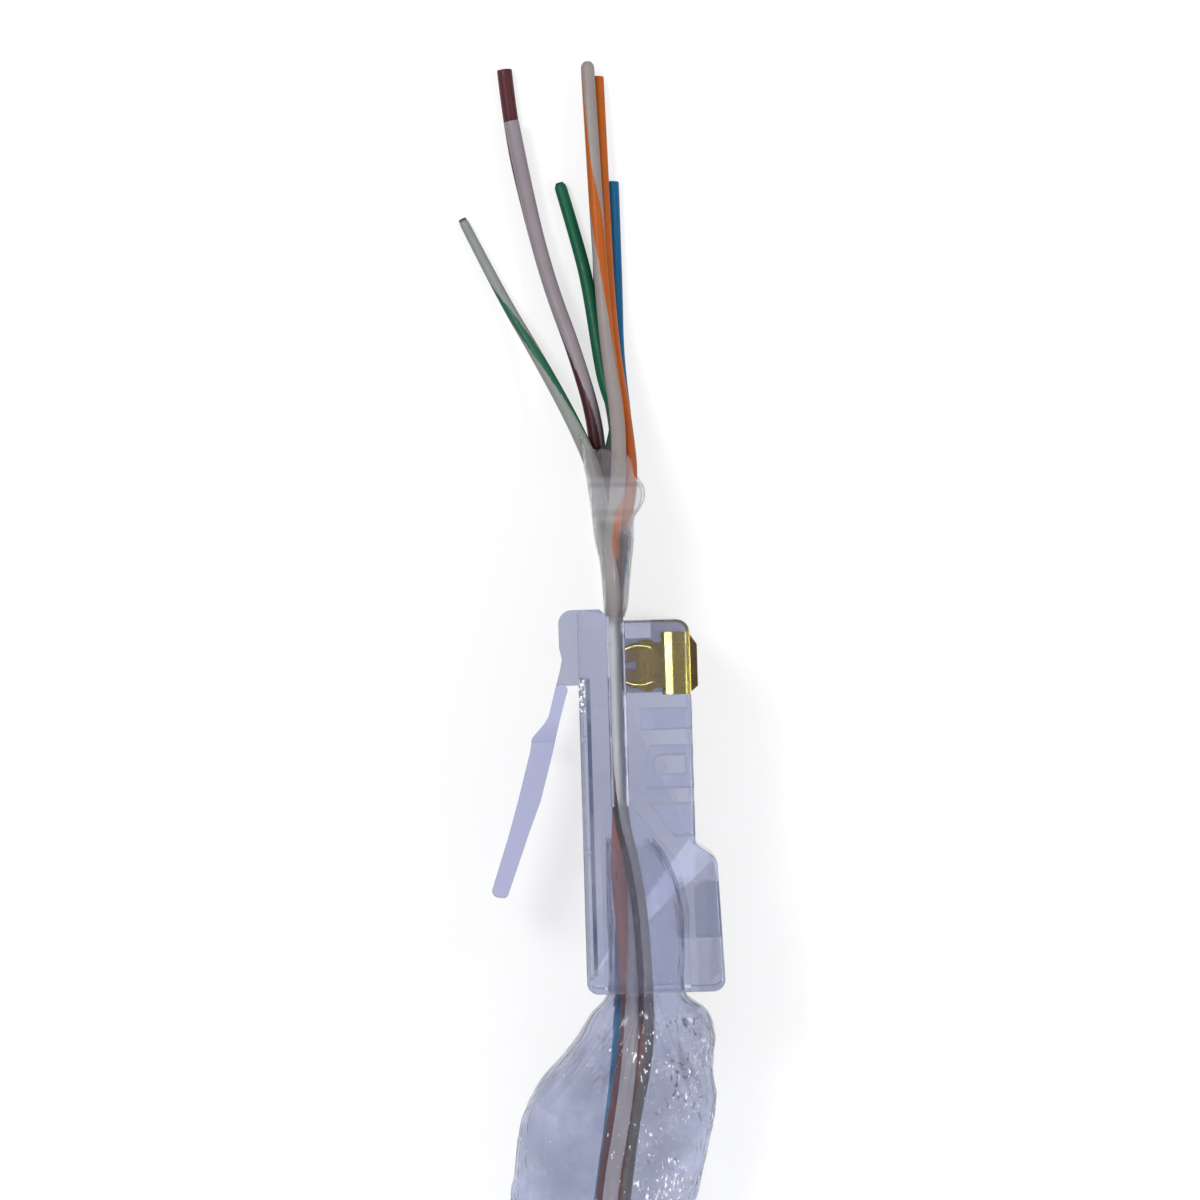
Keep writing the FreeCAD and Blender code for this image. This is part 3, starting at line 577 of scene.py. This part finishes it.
def film_tint(mat, place, x, y, colour):
    """The film's tint: cloudy behind the plug, clear in it and before it, with painted shade in its folds,
    along the wrap's edges and before the nose, a painted sheen and painted highlight streaks.
    """
    clouds = remap(mat, noise_node(mat, place, 260.0), 0.35, 0.65, 0.0, 1.0, True)
    tint = mix_colours(mat, clouds, dark(colour, 0.88), dark(colour, 1.01))
    tint = mix_colours(mat, fade(mat, y, *MOUTH), tint, CLEAR_COLOUR)
    # Painted shade in the folds behind the mouth.
    tint = mix_colours(mat, times(mat, film_fold_shade(mat, x, y), 0.42), tint, dark(colour, 0.55))
    # Painted shade along the wrap's two edges.
    first, last = (within(mat, y, low, high, 0.2) for low, high in WRAP_EDGE_SHADE)
    tint = mix_colours(mat, times(mat, plus(mat, first, last), 0.35), tint, dark(colour, 0.6))
    # Painted shade before the nose, towards the contact side.
    shade = times(mat, within(mat, y, *NOSE_SHADE, 0.9), fade(mat, x, *SHADE_EDGE, 0.0, 0.6))
    tint = mix_colours(mat, shade, tint, dark(colour, 0.55))
    # A painted sheen: soft pale patches here and there.
    sheen = remap(mat, noise_node(mat, place, 620.0), 0.56, 0.70, 0.0, 0.34, True)
    tint = mix_colours(mat, sheen, tint, SHEEN_COLOUR)
    # Painted highlight streaks, stronger towards the contact side.
    highlight_streaks = times(mat, ridges(mat, place, 560.0, 0.014), fade(mat, x, *STREAK_HIGHLIGHT_EDGE, 0.1575, 0.45))
    return mix_colours(mat, highlight_streaks, tint, STREAK_HIGHLIGHT_COLOUR)


def film_glints(mat, place, x, y, glint_amount):
    """Painted glints: white specks in clusters, more on the right and fewer inside the plug."""
    side = fade(mat, x, *GLINT_EDGE, 0.5, 1.0)
    clusters = remap(mat, noise_node(mat, place, 420.0, 1.0), 0.42, 0.62, 0.35, 1.0, True)
    behind = fade(mat, y, *GLINT_THINNING, 1.0, 0.45)
    amount = times(mat, times(mat, side, clusters), times(mat, behind, glint_amount))
    edge = minus(mat, 0.80, amount)
    specks = noise_node(mat, stretched(mat, place, (5200.0, 1900.0, 5200.0), 0.45), 1.0, 2.0)
    return remap(mat, specks, edge, plus(mat, edge, 0.035), 0.0, 1.0, True)


def film_material(name, colour, glint_amount):
    """Thin crinkled film, see-through, a little milky in the wrap before the nose, with painted glints."""
    mat, shader = start_material(name, colour, 0.12)
    place = place_of(mat)
    axes = axes_of(mat, place)
    x, y = axes["X"], axes["Y"]
    # Painted glints: white specks, less clear than the film round them.
    glints = film_glints(mat, place, x, y, glint_amount)
    tint = mix_colours(mat, glints, film_tint(mat, place, x, y, colour), GLINT_COLOUR)
    connect(mat, tint, shader.inputs["Base Color"])
    milky = math_node(mat, "MAXIMUM", within(mat, y, *WRAP, 0.6), fade(mat, x, *MILK_EDGE, 0.0, 0.6))
    milky = times(mat, milky, remap(mat, y, MILK_START[0] * MM, MILK_START[1] * MM, 0.0, 0.11))
    clear = minus(mat, minus(mat, FILM_CLEARNESS, milky), glints)
    connect(mat, clear, shader.inputs["Transmission Weight"])
    connect(mat, remap(mat, noise_node(mat, place, 1500.0), 0.3, 0.7, 0.05, 0.2), shader.inputs["Roughness"])
    shader.inputs["IOR"].default_value = FILM_IOR
    shader.inputs["Coat Weight"].default_value = FILM_COAT
    shader.inputs["Coat Roughness"].default_value = FILM_COAT_ROUGHNESS
    creases = add(mat, "ShaderNodeTexVoronoi", Vector=place, Scale=900.0).outputs["Distance"]
    bump(mat, shader, creases, 0.5, 0.3 * MM)
    return mat


# The blade's colours from its tines to its crown, as shares of the way between two places in millimetres. Its
# two pale bands are painted highlights, and the dark olive just before the first band is painted shade.
BLADE_LEFT, BLADE_RIGHT = -1.0, 3.8
GOLD_COLOURS_AND_PAINTED_LIGHT = [
    (0.0, (0.26, 0.15, 0.13)), (0.10, (0.34, 0.20, 0.13)), (0.22, (0.30, 0.18, 0.03)),
    (0.30, (0.40, 0.26, 0.02)), (0.50, (0.26, 0.17, 0.00)), (0.575, (0.24, 0.16, 0.01)),
    (0.590, (0.84, 0.78, 0.24)), (0.680, (0.80, 0.72, 0.18)), (0.695, (0.42, 0.29, 0.00)),
    (0.825, (0.40, 0.28, 0.00)), (0.84, (0.84, 0.75, 0.20)), (0.875, (0.82, 0.73, 0.18)),
    (0.895, (0.13, 0.09, 0.06)), (1.0, (0.11, 0.075, 0.05)),
]
# The head's two bright bands, and the two bright arcs round the hole between the tines, in millimetres. The
# arcs' colour is a painted highlight.
BRIGHT_BANDS = ((1.84, 2.24), (3.04, 3.20))
ARC_X, ARC_Y = 0.3, 7.95
ARC_INNER, ARC_OUTER = 1.14, 1.17
ARC_SQUASH = 0.8
ARC_SPAN = (-0.5, 1.0)
# How steeply the blade seems to lean: all of it along Y, and its bright parts across X from a middle.
LEAN_ALONG = 0.13
LEAN_ACROSS = 0.18
LEAN_MIDDLE = 1.5
# The arcs' painted highlight, and the colour of worn patches.
ARC_HIGHLIGHT_COLOUR = (0.75, 0.62, 0.14)
WORN_COLOUR = (0.20, 0.13, 0.02)


def blade_highlight_arcs(mat, x, y):
    """1 on the arcs of painted highlight above and below the hole between the tines, fading to 0."""
    off_x = times(mat, minus(mat, x, ARC_X * MM), ARC_SQUASH)
    off_y = minus(mat, y, ARC_Y * MM)
    reach = math_node(mat, "SQRT", plus(mat, times(mat, off_x, off_x), times(mat, off_y, off_y)))
    return times(mat, within(mat, reach, ARC_INNER, ARC_OUTER, 0.05), within(mat, x, *ARC_SPAN, 0.1))


def gold_material():
    """Gold plating over a stamped blade: two bright bands along the head, their colour a painted highlight, a
    dark crown and a duller body.
    """
    mat, shader = start_material("contact_gold", (0.86, 0.66, 0.20), 0.2, 0.6)
    place = place_of(mat)
    axes = axes_of(mat, place)
    x, y = axes["X"], axes["Y"]
    # The ramp paints highlights on the two bright bands and shade just before the first.
    ramp = add(mat, "ShaderNodeValToRGB", Fac=remap(mat, x, BLADE_LEFT * MM, BLADE_RIGHT * MM, 0.0, 1.0))
    stops = ramp.color_ramp.elements
    stops[0].color = (*GOLD_COLOURS_AND_PAINTED_LIGHT[0][1], 1)
    stops[1].color = (*GOLD_COLOURS_AND_PAINTED_LIGHT[-1][1], 1)
    for at, colour in GOLD_COLOURS_AND_PAINTED_LIGHT[1:-1]:
        stops.new(at).color = (*colour, 1)
    patches = noise_node(mat, place, 900.0)
    worn = remap(mat, patches, 0.35, 0.7, 0.0, 0.45)
    tint = mix_colours(mat, worn, ramp.outputs["Color"], WORN_COLOUR)
    # Painted highlight on two arcs round the hole between the tines.
    arcs = blade_highlight_arcs(mat, x, y)
    connect(mat, mix_colours(mat, arcs, tint, ARC_HIGHLIGHT_COLOUR), shader.inputs["Base Color"])
    left, right = (within(mat, x, low, high, 0.02) for low, high in BRIGHT_BANDS)
    bright = math_node(mat, "MINIMUM", plus(mat, plus(mat, left, right), arcs), 1.0)
    connect(mat, remap(mat, bright, 0.0, 1.0, 0.94, 1.0), shader.inputs["Metallic"])
    connect(mat, remap(mat, patches, 0.3, 0.7, 0.18, 0.34), shader.inputs["Roughness"])
    # The whole blade leans along Y and its bright parts across X too, so that they face the light.
    across = times(mat, times(mat, bright, minus(mat, x, LEAN_MIDDLE * MM)), LEAN_ACROSS)
    lean = minus(mat, across, times(mat, y, LEAN_ALONG))
    scratches = noise_node(mat, stretched(mat, place, (9000.0, 700.0, 9000.0)), 1.0, 2.0)
    bump(mat, shader, plus(mat, lean, times(mat, scratches, 0.008 * MM)), 1.0, 1.0)
    return mat


def copper_material():
    mat, shader = start_material("copper", (0.70, 0.33, 0.18), 0.25, 1.0)
    place = place_of(mat)
    stain = noise_node(mat, place, 1800.0)
    connect(mat, mix_colours(mat, stain, (0.42, 0.17, 0.09), (0.80, 0.40, 0.24)), shader.inputs["Base Color"])
    connect(mat, remap(mat, stain, 0.3, 0.7, 0.18, 0.4), shader.inputs["Roughness"])
    return mat


WIRE_COLOURS = {
    "white_orange": ((0.285, 0.250, 0.238), (0.45, 0.098, 0.006)),
    "orange": ((0.45, 0.098, 0.006), None),
    "white_green": ((0.250, 0.268, 0.250), (0.022, 0.120, 0.070)),
    "blue": ((0.001, 0.098, 0.235), None),
    "white_blue": ((0.24, 0.25, 0.27), (0.005, 0.08, 0.20)),
    "green": ((0.008, 0.110, 0.056), None),
    "white_brown": ((0.258, 0.225, 0.246), (0.060, 0.012, 0.016)),
    "brown": ((0.085, 0.018, 0.024), None),
}
# How much of the way round a stripe takes up.
STRIPE_WIDTH = 0.3
STRIPE_WIDTHS = {"white_green": 0.22}
# How far its edge wavers and how soft it is, in turns.
STRIPE_WAVER = 0.012
STRIPE_SOFTNESS = 0.02
WIRE_IOR = 1.3
# Painted light and shade on the insulation under the film, inside the plug and before the nose: its colour
# between two places along Y, darker where shade is painted and paler where light is painted.
INSULATION_LIGHT_AND_SHADE = {
    "white_orange": [((0.175, 0.162, 0.124), -40.0, -13.0), ((0.46, 0.43, 0.33), -10.0, 0.5)],
    "orange": [
        ((0.19, 0.055, 0.045), -40.0, -13.0), ((0.85, 0.29, 0.16), -10.5, -1.5),
        ((0.15, 0.095, 0.105), 10.5, 15.6), ((0.36, 0.075, 0.012), 18.5, 22.0),
    ],
    "white_green": [((0.66, 0.57, 0.48), -40.0, -1.5), ((0.260, 0.238, 0.230), 11.5, 20.5)],
    "blue": [((0.0, 0.25, 0.43), -40.0, -13.2), ((0.30, 0.31, 0.40), -10.8, -1.5)],
    "green": [((0.085, 0.040, 0.050), 11.5, 20.4)],
}
# The same for a stripe: dark maroon inside the plug and before the nose, which is painted shade, and pinker
# under the film.
STRIPE_ZONES_AND_SHADE = {
    "white_orange": [
        ((0.34, 0.110, 0.070), -40.0, -13.6), ((0.075, 0.014, 0.014), -13.2, 0.2),
        ((0.085, 0.030, 0.034), 10.0, 13.9),
    ],
}
# Painted light and shade on the wire nearest to the camera, in its hole: a painted highlight on the left and
# painted shade on the right.
HOLE_LIGHT_AND_SHADE = {"white_orange": ((1.0, 0.97, 0.80), (0.26, 0.25, 0.26))}
HOLE_SPAN = (0.4, 10.0)
HOLE_EDGE = (-1.25, -0.85)


def zoned(mat, tint, y, zones, soft):
    """A tint that changes to each zone's colour between the zone's two places along Y."""
    for colour, low, high in zones:
        tint = mix_colours(mat, within(mat, y, low, high, soft), tint, colour)
    return tint


def stripe_mask(mat, place, width):
    """1 on the stripe, which the UV map keeps at whole turns, and 0 beside it, with a wavering edge."""
    turn = axes_of(mat, add(mat, "ShaderNodeUVMap").outputs["UV"])["X"]
    off = math_node(mat, "ABSOLUTE", minus(mat, turn, math_node(mat, "ROUND", turn)))
    waver = remap(mat, noise_node(mat, place, 2600.0), 0.3, 0.7, -STRIPE_WAVER, STRIPE_WAVER)
    inner, outer = width / 2 - STRIPE_SOFTNESS, width / 2 + STRIPE_SOFTNESS
    return remap(mat, plus(mat, off, waver), inner, outer, 1.0, 0.0, True)


def wire_material(name, colour, stripe, width):
    """Satin insulation, with a stripe that takes up width of the way round if the conductor has one, and
    painted light and shade along it.
    """
    mat, shader = start_material(f"{name}_wire", colour, 0.42)
    shader.inputs["IOR"].default_value = WIRE_IOR
    place = place_of(mat)
    axes = axes_of(mat, place)
    x, y = axes["X"], axes["Y"]
    cloud = noise_node(mat, place, 700.0, 4.0)
    tint = mix_colours(mat, cloud, dark(colour, 0.84), dark(colour, 1.08))
    # Painted light and shade in zones along Y.
    tint = zoned(mat, tint, y, INSULATION_LIGHT_AND_SHADE.get(name, ()), 1.5)
    # A painted highlight on the left of the hole and painted shade on its right.
    if name in HOLE_LIGHT_AND_SHADE:
        across = mix_colours(mat, fade(mat, x, *HOLE_EDGE), *HOLE_LIGHT_AND_SHADE[name])
        tint = mix_colours(mat, within(mat, y, *HOLE_SPAN, 1.0), tint, across)
    if stripe:
        ink = mix_colours(mat, cloud, dark(stripe, 0.8), stripe)
        # Painted shade on the stripe in zones along Y.
        ink = zoned(mat, ink, y, STRIPE_ZONES_AND_SHADE.get(name, ()), 0.6)
        tint = mix_colours(mat, stripe_mask(mat, place, width), tint, ink)
    connect(mat, tint, shader.inputs["Base Color"])
    grain = noise_node(mat, place, 3800.0)
    connect(mat, remap(mat, grain, 0.3, 0.7, 0.32, 0.48), shader.inputs["Roughness"])
    bump(mat, shader, grain, 0.12, 0.06 * MM)
    return mat


def jacket_material():
    """Dull grey sheath with a fine grain."""
    colour = (0.46, 0.48, 0.51)
    mat, shader = start_material("jacket", colour, 0.5)
    place = place_of(mat)
    cloud = noise_node(mat, place, 160.0, 4.0)
    connect(mat, mix_colours(mat, cloud, dark(colour, 0.86), dark(colour, 1.06)), shader.inputs["Base Color"])
    grain = noise_node(mat, place, 2400.0)
    connect(mat, remap(mat, grain, 0.3, 0.7, 0.42, 0.6), shader.inputs["Roughness"])
    bump(mat, shader, grain, 0.2, 0.1 * MM)
    return mat


def tie_material():
    """Woven strap: two crossing sets of threads, with painted shade where the weave is low."""
    mat, shader = start_material("tie", (0.035, 0.035, 0.04), 0.85)
    axes = axes_of(mat, place_of(mat))
    threads = 12000.0
    along = math_node(mat, "SINE", times(mat, axes["Y"], threads))
    across = math_node(mat, "SINE", times(mat, plus(mat, axes["X"], axes["Z"]), threads))
    weave = times(mat, along, across)
    # Darker where the weave is low and paler where it is high: painted shade.
    height = remap(mat, weave, -1.0, 1.0, 0.0, 1.0)
    tint = mix_colours(mat, height, (0.018, 0.018, 0.022), (0.06, 0.06, 0.068))
    connect(mat, tint, shader.inputs["Base Color"])
    bump(mat, shader, weave, 0.6, 0.15 * MM)
    shader.inputs["Sheen Weight"].default_value = 0.3
    return mat


def dress(obj, mat):
    obj.data.materials.clear()
    obj.data.materials.append(mat)


def dress_nodes():
    """Materials for the solids that show as they are."""
    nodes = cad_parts
    housing = plastic_material("housing_plastic", HOUSING_COLOUR, HOUSING_DENSITY, housing_finish)
    latch = plastic_material("latch_plastic", LATCH_COLOUR, LATCH_DENSITY, latch_finish)
    dress(nodes["housing"], housing)
    dress(nodes["latch"], latch)
    dress(nodes["hank_tie"], tie_material())
    gold = gold_material()
    for name, node in nodes.items():
        if name.startswith("contact_"):
            dress(node, gold)


def dress_cords():
    """Materials for the conductors and the cable."""
    copper = copper_material()
    for name, (colour, stripe) in WIRE_COLOURS.items():
        mat = wire_material(name, colour, stripe, STRIPE_WIDTHS.get(name, STRIPE_WIDTH))
        dress(bpy.data.objects[f"{name}_insulation_tube"], mat)
        dress(bpy.data.objects[f"{name}_core_wire"], copper)
    dress(bpy.data.objects["cable_tube"], jacket_material())


# Film


# The sections of the two sleeves in millimetres: y, left, right, low, high and how crumpled it is.
REAR_FILM = [
    (-2.75, -2.02, 1.00, 1.40, 10.25, 0.35),
    (-3.9, -2.08, 1.90, 1.30, 10.35, 0.6),
    (-6.4, -2.10, 2.52, 1.30, 10.35, 0.8),
    (-9.0, -2.10, 2.60, 1.28, 10.38, 0.8),
    (-11.6, -2.25, 2.60, 1.25, 10.40, 0.5),
    (-12.6, -3.15, 3.80, 0.60, 11.10, 0.6),
    (-14.0, -4.12, 4.28, 0.30, 11.10, 1.0),
    (-15.2, -5.12, 4.22, 0.22, 10.80, 1.2),
    (-16.4, -6.32, 4.15, 0.20, 10.60, 1.3),
    (-17.6, -7.05, 4.32, 0.18, 10.30, 1.4),
    (-18.8, -7.65, 4.25, 0.16, 10.00, 1.5),
    (-20.1, -7.90, 3.90, 0.15, 9.60, 1.5),
    (-22.2, -8.15, 3.42, 0.15, 9.00, 1.5),
    (-23.5, -8.40, 3.05, 0.15, 8.60, 1.5),
    (-25.2, -8.25, 2.50, 0.15, 7.90, 1.5),
    (-27.2, -7.60, 2.00, 0.15, 7.00, 1.3),
]
NOSE_FILM = [
    (10.85, -1.57, -0.52, 1.60, 9.98, 0.0),
    (11.5, -1.66, -0.30, 1.50, 10.10, 0.2),
    (13.0, -1.73, -0.12, 1.50, 10.10, 0.3),
    (14.2, -1.84, 0.03, 1.47, 9.85, 0.4),
    (15.4, -2.08, 0.18, 1.45, 9.35, 0.5),
    (16.7, -2.20, 0.27, 1.45, 8.80, 0.5),
    (17.2, -2.24, 0.60, 1.45, 8.50, 0.4),
    (17.7, -2.28, 0.86, 1.45, 8.20, 0.4),
    (18.3, -2.36, 0.92, 1.45, 7.90, 0.4),
    (18.9, -2.45, 0.72, 1.48, 7.50, 0.5),
    (19.3, -2.55, 0.52, 1.52, 7.20, 0.5),
    (20.3, -2.75, 0.47, 1.55, 6.60, 0.6),
    (20.6, -2.82, 0.46, 1.55, 6.45, 0.6),
]
FILM_THICKNESS = 0.06
# A section is an ellipse filled out towards its box by this power.
FILM_ROUNDNESS = 0.72
# How far from a sleeve's ends its ragged edge makes itself felt.
EDGE_REACH = 2.0
REAR_FILM_COLOUR = (0.70, 0.725, 0.845)
NOSE_FILM_COLOUR = (0.80, 0.78, 0.84)
# The sheets before they were wrapped, round and along the wires, in metres.
REAR_FLAT = (0.033, 0.026)
NOSE_FLAT = (0.018, 0.0105)


def smooth_table(rows, count):
    """The rows of a table taken along a smooth line through them, at count even steps of the first column."""
    low, high = rows[0][0], rows[-1][0]
    made = []
    for step in range(count):
        at = low + (high - low) * step / (count - 1)
        index = max(i for i in range(len(rows) - 1) if (rows[i][0] - at) * (high - low) <= 1e-9)
        before, after = rows[max(index - 1, 0)], rows[min(index + 2, len(rows) - 1)]
        first, second = rows[index], rows[index + 1]
        span = second[0] - first[0]
        t = (at - first[0]) / span
        values = [at]
        for column in range(1, len(first)):
            lead = (second[column] - before[column]) / (second[0] - before[0]) * span
            trail = (after[column] - first[column]) / (after[0] - first[0]) * span
            a = 2 * t**3 - 3 * t**2 + 1
            b = t**3 - 2 * t**2 + t
            c = -2 * t**3 + 3 * t**2
            d = t**3 - t**2
            values.append(a * first[column] + b * lead + c * second[column] + d * trail)
        made.append(values)
    return made


def crinkle(point):
    """How far crumpled film stands out at a point, from -1 to 1: flat facets between sharp creases."""
    large = noise.voronoi(point * 0.45)[0]
    small = noise.voronoi(point * 1.15 + Vector((7, 3, 5)))[0]
    facets = (large[1] - large[0]) * 0.75 + (small[1] - small[0]) * 0.4
    return 0.9 - 1.6 * facets + 0.5 * noise.noise(point * 0.5)


def flutes(fluting, angle, y):
    """How far lengthwise folds stand out, from waves given as (count, shift, share) round the sleeve."""
    fold = 0.0
    for count, shift, share in fluting:
        wave = math.sin(count * angle + shift + 0.35 * math.sin(y * 0.8 + shift))
        fold += share * (1 - 2 * abs(wave))
    return fold


def make_film(name, rows, around, along, depth, fluting, ragged, lean=0.0):
    """A crumpled open sleeve through its sections, with creases as deep as given where the crumple is 1.

    Its first and last edges wander by the two ragged lengths, and the last one leans."""
    rings = []
    for y, left, right, low, high, crumple in smooth_table(rows, along):
        middle_x, middle_z = (left + right) / 2, (low + high) / 2
        half_x, half_z = (right - left) / 2, (high - low) / 2
        near_first = max(0.0, 1 - abs(y - rows[0][0]) / EDGE_REACH)
        near_last = max(0.0, 1 - abs(y - rows[-1][0]) / EDGE_REACH)
        ring = []
        for step in range(around):
            angle = 2 * math.pi * step / around
            c, s = math.cos(angle), math.sin(angle)
            x = half_x * math.copysign(abs(c) ** FILM_ROUNDNESS, c)
            z = half_z * math.copysign(abs(s) ** FILM_ROUNDNESS, s)
            point = Vector((middle_x + x, y, middle_z + z))
            facing = 0.25 + 0.75 * abs(s)
            relief = 0.8 + 0.5 * crinkle(point) + 0.3 * flutes(fluting, angle, y)
            shrink = 1 - crumple * facing * depth * relief / math.hypot(x, z)
            wander = noise.noise(Vector((c * 2.2, s * 2.2, 4.0)))
            wander += 0.5 * noise.noise(Vector((c * 6.0, s * 6.0, 9.0)))
            shift = ragged[0] * near_first * wander + near_last * (ragged[1] * wander + lean * c)
            ring.append(Vector((middle_x + x * shrink, y + shift, middle_z + z * shrink)) * MM)
        rings.append(ring)
    film = skin(name, rings, closed_ends=False)
    wall = film.modifiers.new("wall", "SOLIDIFY")
    wall.thickness = FILM_THICKNESS * MM
    wall.offset = -1
    return film


def make_films():
    rear = make_film(
        "rear_film_skin",
        REAR_FILM,
        around=132,
        along=170,
        depth=0.42,
        fluting=[(9, 0.4, 0.5), (14, 2.1, 0.35), (5, 1.0, 0.4)],
        ragged=(1.2, 0.8),
    )
    nose = make_film(
        "nose_film_skin",
        NOSE_FILM,
        around=72,
        along=90,
        depth=0.16,
        fluting=[(5, 0.7, 0.6), (8, 2.4, 0.4)],
        ragged=(0.1, 0.9),
        lean=-0.7,
    )
    dress(rear, film_material("rear_film", REAR_FILM_COLOUR, glint_amount=0.19))
    dress(nose, film_material("nose_film", NOSE_FILM_COLOUR, glint_amount=0.17))
    for film, node, flat in ((rear, "film_sleeve", REAR_FLAT), (nose, "nose_wrap", NOSE_FLAT)):
        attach(film, "plug")
        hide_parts(node)


# Floor and light


FLOOR_COLOUR = (0.38, 0.38, 0.38)
# How bright the floor glows where the camera sees it, straight or through clear plastic.
FLOOR_GLOW = 0.66
SKY_COLOUR = (0.97, 0.98, 1.0)
SKY_STRENGTH = 0.62
# The lights, each with its name, place in metres, size and power, and the point that they face.
LIGHTS = (("softbox", (-0.22, 0.18, 0.45), 0.16, 1.2), ("strip", (0.30, -0.05, 0.35), 0.10, 0.6))
LIGHT_TARGET = Vector((0, 0.01, 0))


def make_floor():
    """A pale floor that shows white but keeps the shadows on it."""
    mesh = bpy.data.meshes.new("floor")
    mesh.from_pydata([(-1, -1, 0), (1, -1, 0), (1, 1, 0), (-1, 1, 0)], [], [(0, 1, 2, 3)])
    floor = bpy.data.objects.new("floor", mesh)
    bpy.context.collection.objects.link(floor)
    mat, shader = start_material("floor", FLOOR_COLOUR, 0.9)
    shader.inputs["Specular IOR Level"].default_value = 0.0
    rays = add(mat, "ShaderNodeLightPath").outputs
    seen = plus(mat, rays["Is Camera Ray"], rays["Is Glossy Ray"])
    seen = math_node(mat, "MINIMUM", plus(mat, seen, rays["Is Transmission Ray"]), 1.0)
    shader.inputs["Emission Color"].default_value = (1, 1, 1, 1)
    connect(mat, times(mat, seen, FLOOR_GLOW), shader.inputs["Emission Strength"])
    dress(floor, mat)


def make_light(name, place, size, power):
    """A square light."""
    data = bpy.data.lights.new(name, "AREA")
    data.size = size
    data.energy = power
    light = bpy.data.objects.new(name, data)
    light.location = place
    light.rotation_euler = (LIGHT_TARGET - Vector(place)).to_track_quat("-Z", "Y").to_euler()
    bpy.context.collection.objects.link(light)


def make_world():
    world = bpy.data.worlds.new("studio")
    bpy.context.scene.world = world
    world.use_nodes = True
    background = world.node_tree.nodes["Background"]
    background.inputs["Color"].default_value = (*SKY_COLOUR, 1)
    background.inputs["Strength"].default_value = SKY_STRENGTH


make_camera()
make_conductors()
make_cable()
make_films()
dress_nodes()
dress_cords()
make_floor()
make_world()
for light in LIGHTS:
    make_light(*light)

scene = bpy.context.scene
scene.view_settings.view_transform = "Standard"
scene.cycles.max_bounces = LIGHT_BOUNCES
scene.cycles.transmission_bounces = LIGHT_BOUNCES
